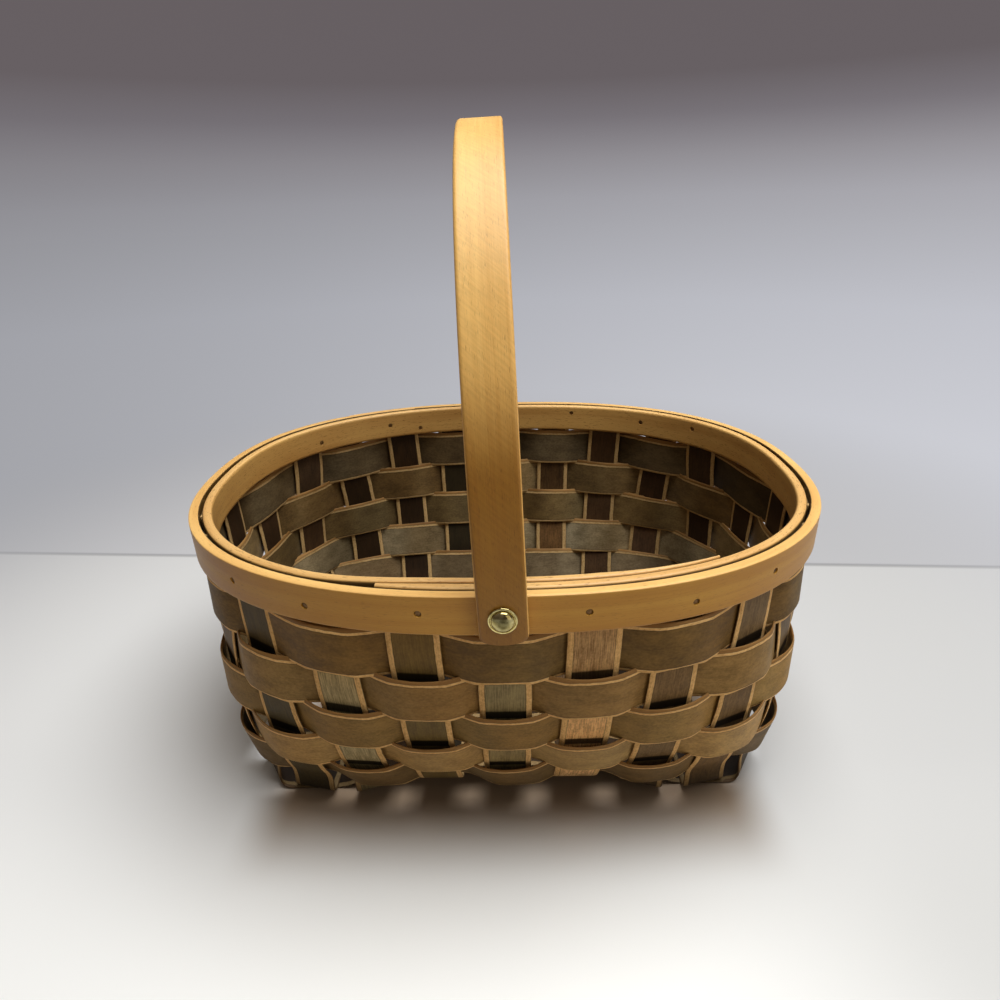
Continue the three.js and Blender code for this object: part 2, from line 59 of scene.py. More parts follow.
# On a strip's map of its thickness, from -1 to 1: where its inner face turns to its outer one.
FACE_TURN = (-0.4, 0.4)

# Every strip's outer face looks away from this height on the basket's axis. Height counts double.
CORE_HEIGHT = 120
CORE_WEIGHT = 2


def paint(red: float, green: float, blue: float) -> Colour:
    """Turns a colour as a paint chart gives it, 0 to 255, into the linear one that shaders take.

    Args:
        red: Red, 0 to 255.
        green: Green, 0 to 255.
        blue: Blue, 0 to 255.

    Returns:
        Linear red, green and blue, and a full alpha.
    """
    parts = []
    for part in (red, green, blue):
        share = part / 255
        parts.append(share / 12.92 if share <= 0.04045 else ((share + 0.055) / 1.055) ** 2.4)
    return (parts[0], parts[1], parts[2], 1.0)


def lerp(first: float, second: float, share: float) -> float:
    """Mixes two numbers."""
    return first + (second - first) * share


def clamp(value: float, low: float, high: float) -> float:
    """Keeps a number between two limits."""
    return min(max(value, low), high)


def smoothstep(value: float, low: float, high: float) -> float:
    """Rises smoothly from 0 at low to 1 at high."""
    share = clamp((value - low) / (high - low), 0.0, 1.0)
    return share * share * (3 - 2 * share)


def wander(place: float, pitch: float, seed: float) -> float:
    """A slow random wave along a strip, from about -1 to 1.

    Args:
        place: Length along the strip.
        pitch: Length over which the wave changes.
        seed: A number of the strip's own.

    Returns:
        The wave's height there.
    """
    return noise.noise(Vector((place / pitch, seed * 7.31, seed * 3.17)))


class Kind(Enum):
    """The two ways that an upright splint runs through the base."""

    CROSS = "cross"
    LONG = "long"


@dataclass(frozen=True)
class Upright:
    """One end of an upright splint, where it stands in the wall."""

    kind: Kind
    index: int
    side: int


@dataclass(frozen=True)
class Level:
    """Outline of the wall at one height: a superellipse."""

    half_length: float
    half_width: float
    power: float
    height: float


@dataclass
class Wall:
    """The woven wall's middle surface, in millimetres, by length down it and length round it."""

    rim_length: float = 356.0
    rim_width: float = 284.0
    rim_power: float = 2.34
    base_power: float = 4.8
    rim_offset: float = 5.8
    depth: float = 129.8
    lean: float = math.radians(30)
    end_share: float = 0.5
    bend_drop: float = 6.0
    arch_rise: float = 14.0
    base_level: float = 1.45
    steps: int = 720
    probe: float = 0.5
    arc_tables: dict[Level, tuple[float, ...]] = field(default_factory=dict)

    @property
    def half_length(self) -> float:
        """Half of the length at the top of the wall."""
        return self.rim_length / 2 - self.rim_offset

    @property
    def half_width(self) -> float:
        """Half of the width at the top of the wall."""
        return self.rim_width / 2 - self.rim_offset

    @property
    def radius(self) -> float:
        """Radius of the wall's curve from rim to base."""
        return self.depth / self.lean

    @property
    def top(self) -> float:
        """Height of the top row's upper edge."""
        return self.base_level + self.arch_rise + self.bend_drop + self.radius * math.sin(self.lean)

    @property
    def start(self) -> float:
        """Angle from which lengths round the wall are measured: the left front corner."""
        return math.atan2(-self.half_width, -self.half_length)

    def level(self, down: float) -> Level:
        """Gives the outline at a length down the wall, or up from it where negative.

        Args:
            down: Length down the wall from its top.

        Returns:
            The outline there.
        """
        below = max(down, 0.0)
        lean = below / self.radius
        inset = self.radius * (1 - math.cos(lean))
        return Level(
            self.half_length - self.end_share * inset,
            self.half_width - inset,
            self.rim_power + (self.base_power - self.rim_power) * (below / self.depth) ** 2,
            self.top - self.radius * math.sin(lean) - min(down, 0.0),
        )

    def arcs(self, level: Level) -> tuple[float, ...]:
        """Measures an outline once and keeps the table.

        Args:
            level: The outline.

        Returns:
            Running lengths round it, in small equal steps of angle.
        """
        if level not in self.arc_tables:
            lengths = [0.0]
            before = self.spot(level, self.start)
            for step in range(1, self.steps + 1):
                here = self.spot(level, self.start + step / self.steps * math.tau)
                lengths.append(lengths[-1] + (here - before).length)
                before = here
            self.arc_tables[level] = tuple(lengths)
        return self.arc_tables[level]

    @staticmethod
    def spot(level: Level, angle: float) -> Vector:
        """A point of an outline.

        Args:
            level: The outline.
            angle: Direction of the point from the middle.

        Returns:
            The point, in millimetres.
        """
        along = abs(math.cos(angle) / level.half_length) ** level.power
        across = abs(math.sin(angle) / level.half_width) ** level.power
        reach = (along + across) ** (-1 / level.power)
        return Vector((reach * math.cos(angle), reach * math.sin(angle), level.height))

    def girth(self, down: float) -> float:
        """Length once round the wall."""
        return self.arcs(self.level(down))[-1]

    def angle_at(self, level: Level, arc: float) -> float:
        """Finds the angle at a length round an outline.

        Args:
            level: The outline.
            arc: Length round it.

        Returns:
            The angle, from the start of the outline on.
        """
        arcs = self.arcs(level)
        wanted = arc % arcs[-1]
        low = min(bisect.bisect_right(arcs, wanted) - 1, self.steps - 1)
        share = (wanted - arcs[low]) / (arcs[low + 1] - arcs[low])
        return self.start + (low + share) / self.steps * math.tau

    def arc_at(self, level: Level, x: float, y: float) -> float:
        """Measures an outline up to the angle of a point.

        Args:
            level: The outline.
            x: The point's place along the basket.
            y: Its place across it.

        Returns:
            The length round the outline.
        """
        step = ((math.atan2(y, x) - self.start) % math.tau) / math.tau * self.steps
        low = min(int(step), self.steps - 1)
        arcs = self.arcs(level)
        return arcs[low] + (step - low) * (arcs[low + 1] - arcs[low])

    def side_y(self, level: Level, x: float) -> float:
        """Half of the outline's width at a place along it."""
        return level.half_width * (1 - abs(x / level.half_length) ** level.power) ** (1 / level.power)

    def arc_by_x(self, level: Level, x: float, side: int) -> float:
        """The length round an outline to a place along the front, -1, or the back, 1."""
        return self.arc_at(level, x, side * self.side_y(level, x))

    def side_x(self, level: Level, y: float) -> float:
        """Half of the outline's length at a place across it."""
        return level.half_length * (1 - abs(y / level.half_width) ** level.power) ** (1 / level.power)

    def normal(self, down: float, arc: float) -> Vector:
        """The direction straight out of the wall.

        Args:
            down: Length down the wall.
            arc: Length round it at that level.

        Returns:
            A unit vector.
        """
        level = self.level(down)
        angle = self.angle_at(level, arc)
        here = self.spot(level, angle)
        power = level.power - 1
        out = Vector(
            (
                math.copysign(abs(here.x / level.half_length) ** power / level.half_length, here.x),
                math.copysign(abs(here.y / level.half_width) ** power / level.half_width, here.y),
                0.0,
            )
        ).normalized()
        if down > 0:
            up = self.spot(self.level(down - self.probe), angle) - here
            out = Vector((-out.y, out.x, 0.0)).cross(up).normalized()
        return out

    def point(self, down: float, arc: float, offset: float) -> Vector:
        """A point at a distance off the wall.

        Args:
            down: Length down the wall.
            arc: Length round it at that level.
            offset: Distance outwards, or inwards where negative.

        Returns:
            The point, in millimetres.
        """
        level = self.level(down)
        return self.spot(level, self.angle_at(level, arc)) + self.normal(down, arc) * offset


@dataclass(frozen=True)
class Station:
    """One cross-section of a strip: its two long edges, how far along it lies and how thick it is."""

    first: Vector
    second: Vector
    run: float
    thickness: float


@dataclass(frozen=True)
class Easing:
    """How a strip's four long corners are rounded, in millimetres."""

    across: float
    through: float
    steps: int = 3
    support: float = 0.5
    most_across: float = 0.45
    most_through: float = 0.46

    def section(self, width: float, thickness: float) -> list[tuple[float, float]]:
        """The outline of a cross-section, as pairs of distance across and through.

        Args:
            width: Width of the strip there.
            thickness: Thickness of the strip there.

        Returns:
            The outline's corners, in order round it.
        """
        across = min(self.across, width * self.most_across)
        through = min(self.through, thickness * self.most_through)
        flat = width / 2 - across
        inner = flat - min(self.support, flat / 2)
        outline = []
        for turn, (side, face) in enumerate(((1, -1), (1, 1), (-1, 1), (-1, -1))):
            if turn % 2 == 0:
                outline.append((side * inner, face * thickness / 2))
            for step in range(self.steps + 1):
                angle = math.pi / 2 * (turn - 1 + step / self.steps)
                wide = side * flat + across * math.cos(angle)
                thick = face * (thickness / 2 - through) + through * math.sin(angle)
                outline.append((wide, thick))
            if turn % 2 == 1:
                outline.append((side * inner, face * thickness / 2))
        return outline


@dataclass
class Ribbon:
    """A flat strip that is laid out station by station, with a map of its length and width."""

    name: str
    stations: Sequence[Station]
    easing: Easing
    outward: Callable[[Vector], Vector]

    def build(self) -> bpy.types.Object:
        """Bends a grid into the strip and closes its ends.

        Returns:
            The new object.
        """
        sign = self.facing()
        rings = [self.ring(index, sign) for index in range(len(self.stations))]
        sides = len(rings[0])
        mesh = bmesh.new()
        grain = mesh.loops.layers.uv.new("grain")
        face_map = mesh.loops.layers.uv.new("face")
        made = bmesh.ops.create_grid(mesh, x_segments=sides, y_segments=len(rings) - 1, size=1.0)
        lays: dict[bmesh.types.BMVert, Place] = {}
        for number, vert in enumerate(made["verts"]):
            row, column = divmod(number, sides + 1)
            vert.co, lays[vert] = rings[row][column % sides]
        bmesh.ops.remove_doubles(mesh, verts=mesh.verts, dist=WELD)
        ends = bmesh.ops.holes_fill(mesh, edges=[edge for edge in mesh.edges if edge.is_boundary], sides=0)
        bmesh.ops.recalc_face_normals(mesh, faces=mesh.faces)
        for face in mesh.faces:
            face.smooth = face not in ends["faces"]
            for loop in face.loops:
                run, across, through = lays[loop.vert]
                loop[grain].uv = (run, across)
                loop[face_map].uv = (through, 0.0)
        return add_object(self.name, mesh)

    def frame_at(self, index: int) -> tuple[Vector, Vector, Vector]:
        """Finds how the strip lies at a station.

        Args:
            index: Number of the station.

        Returns:
            The middle of the station, the direction across the strip and the direction through it.
        """
        here = self.stations[index]
        before = self.stations[max(index - 1, 0)]
        after = self.stations[min(index + 1, len(self.stations) - 1)]
        along = (after.first + after.second - before.first - before.second).normalized()
        across = (here.second - here.first).normalized()
        return (here.first + here.second) / 2, across, along.cross(across).normalized()

    def facing(self) -> int:
        """Tells whether the direction through the strip points outwards, 1, or inwards, -1."""
        # An eighth of the way along, every strip is well inside a wall, a hoop or an arch.
        middle, _, through = self.frame_at(len(self.stations) // 8)
        return 1 if through.dot(self.outward(middle)) > 0 else -1

    def ring(self, index: int, sign: int) -> list[tuple[Vector, Place]]:
        """Lays the outline of the cross-section at a station.

        Args:
            index: Number of the station.
            sign: The strip's facing.

        Returns:
            The corners in metres, each with its length, width and side for the strip's maps.
        """
        station = self.stations[index]
        middle, across, through = self.frame_at(index)
        width = (station.second - station.first).length
        corners = []
        for wide, thick in self.easing.section(width, station.thickness):
            place = (middle + across * wide + through * (sign * thick)) * MM
            side = thick / station.thickness * 2
            corners.append((place, (station.run * MM, wide * MM, side)))
        return corners


def add_object(name: str, mesh: bmesh.types.BMesh) -> bpy.types.Object:
    """Turns a bmesh into an object at the origin.

    Args:
        name: Name of the piece.
        mesh: The mesh, which is freed.

    Returns:
        The new object.
    """
    data = bpy.data.meshes.new(name)
    mesh.to_mesh(data)
    mesh.free()
    piece = bpy.data.objects.new(name, data)
    bpy.context.scene.collection.objects.link(piece)
    return piece


def settle(
    piece: bpy.types.Object, body: str, slot: str, material: bpy.types.Material, *nodes: str
) -> None:
    """Dresses a piece, ties it to its body and lets it stand for its solids.

    Args:
        piece: The new object.
        body: The body that it rides on.
        slot: The record's material slot; not used.
        material: Its finish.
        nodes: The solids that it stands for.
    """
    piece.data.materials.clear()
    piece.data.materials.append(material)
    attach(piece, body)
    if nodes:
        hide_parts(*nodes)
    LOG.info("%s: %d faces, on %s", piece.name, len(piece.data.polygons), body)


def away_from_middle(place: Vector) -> Vector:
    """The direction out of the basket, for a point of its wall, base or handle in millimetres."""
    return Vector((place.x, place.y, (place.z - CORE_HEIGHT) * CORE_WEIGHT))


def operator(operation: str, flipped: bool = False) -> Callable[["Wire", "Wire | float"], "Wire"]:
    """Makes an arithmetic operator for wires.

    Args:
        operation: The Math node's operation.
        flipped: Whether the wire comes second, as in 1 - wire.

    Returns:
        A method that adds the Math node.
    """

    def combine(wire: "Wire", other: "Wire | float") -> "Wire":
        """Adds the Math node."""
        values = (other, wire) if flipped else (wire, other)
        return wire.graph.maths(operation, *values)

    return combine


class Wire:
    """A socket of a shader that can be used in sums."""

    __add__ = operator("ADD")
    __radd__ = operator("ADD", flipped=True)
    __sub__ = operator("SUBTRACT")
    __rsub__ = operator("SUBTRACT", flipped=True)
    __mul__ = operator("MULTIPLY")
    __rmul__ = operator("MULTIPLY", flipped=True)
    __truediv__ = operator("DIVIDE")
    __rtruediv__ = operator("DIVIDE", flipped=True)

    def __init__(self, graph: "Graph", socket: bpy.types.NodeSocket) -> None:
        """Wraps a socket of a graph."""
        self.graph = graph
        self.socket = socket

    def __abs__(self) -> "Wire":
        """Takes the sign off."""
        return self.graph.maths("ABSOLUTE", self)

    def step(self, low: float, high: float, start: float = 0.0, end: float = 1.0) -> "Wire":
        """Goes smoothly from one value to another.

        Args:
            low: Where the change starts.
            high: Where it ends.
            start: The value up to low.
            end: The value from high on.

        Returns:
            The changed value.
        """
        node = self.graph.node(
            "ShaderNodeMapRange",
            {"interpolation_type": "SMOOTHSTEP"},
            {"Value": self, "From Min": low, "From Max": high, "To Min": start, "To Max": end},
        )
        return Wire(self.graph, node.outputs["Result"])


class Graph:
    """A shader's nodes, made one by one."""

    def __init__(self, tree: bpy.types.NodeTree) -> None:
        """Clears a node tree and takes it over."""
        self.tree = tree
        tree.nodes.clear()

    def node(self, kind: str, settings: dict[str, Any], sockets: dict[str, Any]) -> bpy.types.Node:
        """Adds a node.

        Args:
            kind: The node's type.
            settings: Its settings, and under "stops" a ramp's places and colours.
            sockets: Values or wires, by the name or identifier of the socket.

        Returns:
            The node.
        """
        made = self.tree.nodes.new(kind)
        for name, value in settings.items():
            if name == "stops":
                for index, (place, colour) in enumerate(value):
                    stops = made.color_ramp.elements
                    stop = stops[index] if index < 2 else stops.new(place)
                    stop.position = place
                    stop.color = colour
            else:
                setattr(made, name, value)
        for name, value in sockets.items():
            socket = next(one for one in made.inputs if name in (one.identifier, one.name) and one.enabled)
            if isinstance(value, Wire):
                self.tree.links.new(value.socket, socket)
            else:
                socket.default_value = value
        return made

    def maths(self, operation: str, *values: Wire | float) -> Wire:
        """Adds a Math node.

        Args:
            operation: What it does.
            *values: Its inputs, in order.

        Returns:
            Its result.
        """
        names = ("Value", "Value_001", "Value_002")
        node = self.node("ShaderNodeMath", {"operation": operation}, dict(zip(names, values)))
        return Wire(self, node.outputs["Value"])

    def length(self, first: Wire, second: Wire) -> Wire:
        """The length of a line from its two parts."""
        return self.maths("SQRT", first * first + second * second)

    def mix(self, share: Wire | float, first: Wire | Colour, second: Wire | Colour) -> Wire:
        """Mixes two colours.

        Args:
            share: How much of the second one.
            first: The first colour.
            second: The second colour.

        Returns:
            The mixed colour.
        """
        sockets = {"Factor_Float": share, "A_Color": first, "B_Color": second}
        node = self.node("ShaderNodeMix", {"data_type": "RGBA"}, sockets)
        return Wire(self, next(one for one in node.outputs if one.identifier == "Result_Color"))

    def tint(self, colour: Wire, strength: Wire) -> Wire:
        """Makes a colour lighter or darker by a number, where 1 leaves it as it is."""
        node = self.node(
            "ShaderNodeVectorMath", {"operation": "SCALE"}, {"Vector": colour, "Scale": strength}
        )
        return Wire(self, node.outputs["Vector"])

    def glaze(self, colour: Wire, film: Wire | Colour) -> Wire:
        """Lays a clear coloured film over a colour.

        Args:
            colour: The colour.
            film: The film's colour.

        Returns:
            The product of both.
        """
        sockets = {"Vector": colour, "Vector_001": film if isinstance(film, Wire) else film[:3]}
        node = self.node("ShaderNodeVectorMath", {"operation": "MULTIPLY"}, sockets)
        return Wire(self, node.outputs["Vector"])

    def ramp(self, place: Wire, stops: Sequence[tuple[float, Colour]]) -> Wire:
        """Looks a value up in a row of colours."""
        node = self.node("ShaderNodeValToRGB", {"stops": stops}, {"Fac": place})
        return Wire(self, node.outputs["Color"])

    def vector(self, x: Wire | float, y: Wire | float, z: Wire | float) -> Wire:
        """Puts three numbers together."""
        node = self.node("ShaderNodeCombineXYZ", {}, {"X": x, "Y": y, "Z": z})
        return Wire(self, node.outputs["Vector"])

    def split(self, vector: Wire) -> tuple[Wire, Wire, Wire]:
        """Takes a vector apart."""
        node = self.node("ShaderNodeSeparateXYZ", {}, {"Vector": vector})
        return (Wire(self, node.outputs["X"]), Wire(self, node.outputs["Y"]), Wire(self, node.outputs["Z"]))

    def strip_map(self, name: str) -> tuple[Wire, Wire]:
        """Reads one of a strip's own maps, such as its length and width in metres."""
        node = self.node("ShaderNodeUVMap", {"uv_map": name}, {})
        return self.split(Wire(self, node.outputs["UV"]))[:2]

    def place(self) -> Wire:
        """Object coordinates."""
        return Wire(self, self.node("ShaderNodeTexCoord", {}, {}).outputs["Object"])

    def cloud(self, vector: Wire, scale: float, detail: float = 2.0, roughness: float = 0.5) -> Wire:
        """Noise, 0 to 1 and mostly near 0.5.

        Args:
            vector: Where to read it.
            scale: Its fineness.
            detail: Number of finer layers.
            roughness: Strength of the finer layers.

        Returns:
            The noise.
        """
        sockets = {"Vector": vector, "Scale": scale, "Detail": detail, "Roughness": roughness}
        node = self.node("ShaderNodeTexNoise", {"noise_dimensions": "3D"}, sockets)
        return Wire(self, node.outputs[0])

    def wave(self, run: Wire, fineness: float, seed: float, detail: float = 1.0) -> Wire:
        """Noise that changes only along a strip.

        Args:
            run: Length along the strip, in metres.
            fineness: Its fineness.
            seed: The strip's own number.
            detail: Number of finer layers.

        Returns:
            The noise, 0 to 1.
        """
        return self.cloud(self.vector(run * fineness, seed, 0.0), 1.0, detail)

    def bump(self, height: Wire, strength: float, distance: float) -> Wire:
        """Turns a height into a normal."""
        sockets = {"Strength": strength, "Distance": distance, "Height": height}
        return Wire(self, self.node("ShaderNodeBump", {}, sockets).outputs["Normal"])


def new_finish(name: str) -> tuple[bpy.types.Material, Graph]:
    """Starts a material.

    Args:
        name: Its name.

    Returns:
        The material and its graph.
    """
    material = bpy.data.materials.new(name)
    material.use_nodes = True
    return material, Graph(material.node_tree)


def close_finish(graph: Graph, sockets: dict[str, Any]) -> None:
    """Ends a material with a Principled shader.

    Args:
        graph: The material's graph.
        sockets: The shader's values and wires.
    """
    shader = graph.node("ShaderNodeBsdfPrincipled", {}, sockets)
    graph.node("ShaderNodeOutputMaterial", {}, {"Surface": Wire(graph, shader.outputs["BSDF"])})


@dataclass(frozen=True)
class Figure:
    """Noise that is stretched along a strip, as grain is."""

    along: float
    across: float
    shift: float = 0.0
    detail: float = 2.0
    roughness: float = 0.5

    def read(
        self, graph: Graph, run: Wire, across: Wire, seed: float, deep: Wire | float = 0.0
    ) -> Wire:
        """Reads the noise at a place of a strip.

        Args:
            graph: The material's graph.
            run: Length along the strip, in metres.
            across: Distance across it, in metres.
            seed: The strip's own number.
            deep: Distance through it, in metres.

        Returns:
            The noise, 0 to 1.
        """
        layer = deep * self.across + (seed + self.shift)
        place = graph.vector(run * self.along, across * self.across, layer)
        return graph.cloud(place, 1.0, self.detail, self.roughness)


@dataclass(frozen=True)
class WornEdge:
    """Where the stain is worn through beside an edge of a splint, in metres in from that edge."""

    start: float
    end: float
    start_blur: float = 0.0001
    end_blur: float = 0.00015
    cut_side: float = 0.0003
    dark_line_width: float = 0.0007
    dark_line_tone: float = 0.4

    def mask(self, inward: Wire) -> Wire:
        """1 where bare wood shows."""
        begun = inward.step(self.start - self.start_blur, self.start + self.start_blur)
        return begun * inward.step(self.end - self.end_blur, self.end + self.end_blur, 1.0, 0.0)

    def dark_line(self, inward: Wire) -> Wire:
        """Darkens the stain in a thin line beside the bare wood."""
        return inward.step(self.end, self.end + self.dark_line_width, self.dark_line_tone, 1.0)

    def rubbed(self, inward: Wire) -> Wire:
        """1 on the cut side beyond the bare line, where the stain is half worn."""
        return inward.step(self.start - self.cut_side, self.start, 1.0, 0.0)


BAR = WornEdge(0.0002, 0.0029)
HIGH_LINE = WornEdge(0.0014, 0.0029)
LOW_LINE = WornEdge(-0.001, 0.0009)


@dataclass(frozen=True)
class PocketShade:
    """Painted shade in the pockets over the weavers' bows, row by row down the wall's curve, in metres.

    The reach of a pocket is a share of the row pitch, and its depth is how much of the light it takes.
    """

    wall_top: float = 0.1454
    wall_radius: float = 0.2479
    start: float = 0.0039
    pitch: float = 0.0256
    first_row: tuple[float, float] = (0.012, 0.016)
    last_row: tuple[float, float] = (0.108, 0.112)
    reach: tuple[float, float] = (0.087, 0.142)
    depth: float = 0.9

    def tone(self, graph: Graph, height: Wire, through: Wire) -> Wire:
        """How much the painted shade darkens an upright in its pockets.

        Args:
            graph: The material's graph.
            height: Height over the table.
            through: Side of the splint, -1 inside to 1 outside.

        Returns:
            The tone, where 1 leaves the stain as it is.
        """
        down = graph.maths("ARCSINE", (self.wall_top - height) / self.wall_radius) * self.wall_radius
        near = abs(graph.maths("FRACT", (down - self.start) / self.pitch + 0.5) - 0.5)
        rows = down.step(*self.first_row) * down.step(*self.last_row, 1.0, 0.0)
        return 1 - near.step(*self.reach, self.depth, 0.0) * rows * through.step(0.0, 0.4)


@dataclass(frozen=True)
class StainedSplint:
    """A stained wood splint, worn to bare wood along its eased edges, with painted light and shade towards
    the right, and painted shade in its pockets and near the floor.

    Each fade is a pair of places between which a tone changes, in metres. The relief is a strength and a
    height in metres.
    """

    name: str
    seed: float
    light: Colour
    dark: Colour
    inner_light: Colour
    inner_dark: Colour
    width: float = 0.025
    first_edge: WornEdge = BAR
    second_edge: WornEdge = BAR
    # Painted shade in the pockets over the weavers' bows.
    pockets: PocketShade | None = None
    streaks: float = 0.5
    mottle: float = 0.5
    tone_ends: tuple[float, float] = (0.18, 0.82)
    low_tone: float = 1.0
    low_fade: tuple[float, float] = (0.075, 0.115)
    # Painted light: a tone towards the right of the basket, where more light falls.
    painted_right_light: float = 1.0
    painted_right_light_fade: tuple[float, float] = (0.03, 0.12)
    # Painted shade: the splint is darker close to the floor, bare edges too.
    floor_shade_tone: float = 0.2
    floor_shade_fade: tuple[float, float] = (0.003, 0.03)
    bare_light: Colour = paint(248, 210, 146)
    bare_dark: Colour = paint(202, 160, 100)
    inner_bare: float = 0.58
    rubbed: Colour = paint(154, 114, 64)
    rubbed_share: float = 0.75
    warm: Colour = (1.05, 1.0, 0.93, 1.0)
    cool: Colour = (0.97, 1.02, 1.1, 1.0)
    deep: Colour = (0.7, 0.66, 0.6, 1.0)
    pale: Colour = (1.3, 1.34, 1.4, 1.0)
    drift_fineness: float = 16.0
    inner_drift_fineness: float = 24.0
    wobble_fineness: float = 170.0
    edge_wobble: float = 0.0006
    shine: float = 0.17
    roughness: tuple[float, float] = (0.48, 0.64)
    bare_roughness: float = 0.06
    relief: tuple[float, float] = (0.32, 0.00025)
    fibres: Figure = Figure(90, 1700, 0.0, 3.0, 0.65)
    bands: Figure = Figure(11, 260, 5.0)
    patches: Figure = Figure(75, 130, 9.0, 5.0, 0.68)
    specks: Figure = Figure(620, 900, 2.0, 2.0, 0.6)

    def material(self) -> bpy.types.Material:
        """Makes the material.

        Returns:
            The finish for one splint.
        """
        made, graph = new_finish(self.name)
        run, across = graph.strip_map("grain")
        through, _ = graph.strip_map("face")
        side, _, height = graph.split(graph.place())
        outside = through.step(*FACE_TURN)
        figures = (self.fibres, self.bands, self.patches, self.specks)
        fibres, bands, patches, specks = [one.read(graph, run, across, self.seed) for one in figures]
        streak = (fibres - 0.5) * (self.streaks * 1.2) + (bands - 0.5) * (self.streaks * 0.3)
        blotch = (patches - 0.5) * (self.mottle * 1.5) + (specks - 0.5) * self.mottle
        stained = self.stain(graph, run, (streak + blotch + 0.5).step(*self.tone_ends), outside)
        # The stain's tone towards the bottom, times the painted light and painted shade below.
        shade_and_tone = height.step(*self.low_fade, self.low_tone, 1.0)
        # Painted light towards the right of the basket.
        shade_and_tone = shade_and_tone * side.step(*self.painted_right_light_fade, 1.0, self.painted_right_light)
        # Painted shade darkens the outer face in the pockets over the weavers' bows.
        if self.pockets:
            shade_and_tone = shade_and_tone * self.pockets.tone(graph, height, through)
        wobble = (graph.wave(run, self.wobble_fineness, self.seed, 2.0) - 0.5) * self.edge_wobble
        edges = (
            (self.first_edge, across + wobble + self.width / 2),
            (self.second_edge, self.width / 2 - across + wobble),
        )
        bare = graph.maths("MAXIMUM", *[edge.mask(inward) for edge, inward in edges])
        rubbed = graph.maths("MAXIMUM", *[edge.rubbed(inward) for edge, inward in edges])
        first_dark_line, second_dark_line = [edge.dark_line(inward) for edge, inward in edges]
        worn = graph.mix(
            rubbed * self.rubbed_share, graph.tint(stained, first_dark_line * second_dark_line * shade_and_tone), self.rubbed
        )
        worn = graph.glaze(worn, graph.mix(outside, self.inner_drift(graph, run), UNTINTED))
        wood = graph.mix((fibres * 0.5 + specks * 0.5).step(0.3, 0.62), self.bare_dark, self.bare_light)
        wood = graph.tint(wood, through.step(*FACE_TURN, self.inner_bare, 1.0))
        # Painted shade close to the floor.
        ground = height.step(*self.floor_shade_fade, self.floor_shade_tone, 1.0)
        close_finish(
            graph,
            {
                "Base Color": graph.tint(graph.mix(bare, worn, wood), ground),
                "Roughness": fibres.step(0.2, 0.8, *self.roughness) + bare * self.bare_roughness,
                "Specular IOR Level": self.shine,
                "Normal": graph.bump(fibres * 0.55 + bands * 0.2 + specks * 0.25, *self.relief),
            },
        )
        return made

    def stain(self, graph: Graph, run: Wire, tone: Wire, outside: Wire) -> Wire:
        """The stain of both faces, drifting between warm and cool along the splint.

        Args:
            graph: The material's graph.
            run: Length along the splint.
            tone: How light the stain is, 0 to 1.
            outside: 1 on the outer face and 0 on the inner one.

        Returns:
            The colour.
        """
        inner = graph.mix(tone, self.inner_dark, self.inner_light)
        outer = graph.mix(tone, self.dark, self.light)
        drift = graph.wave(run, self.drift_fineness, self.seed + 12).step(0.35, 0.65)
        return graph.glaze(graph.mix(outside, inner, outer), graph.mix(drift, self.cool, self.warm))

    def inner_drift(self, graph: Graph, run: Wire) -> Wire:
        """How much lighter or darker the inner face is from place to place along the splint."""
        wave = graph.wave(run, self.inner_drift_fineness, self.seed + 31)
        return graph.mix(wave.step(0.36, 0.64), self.deep, self.pale)


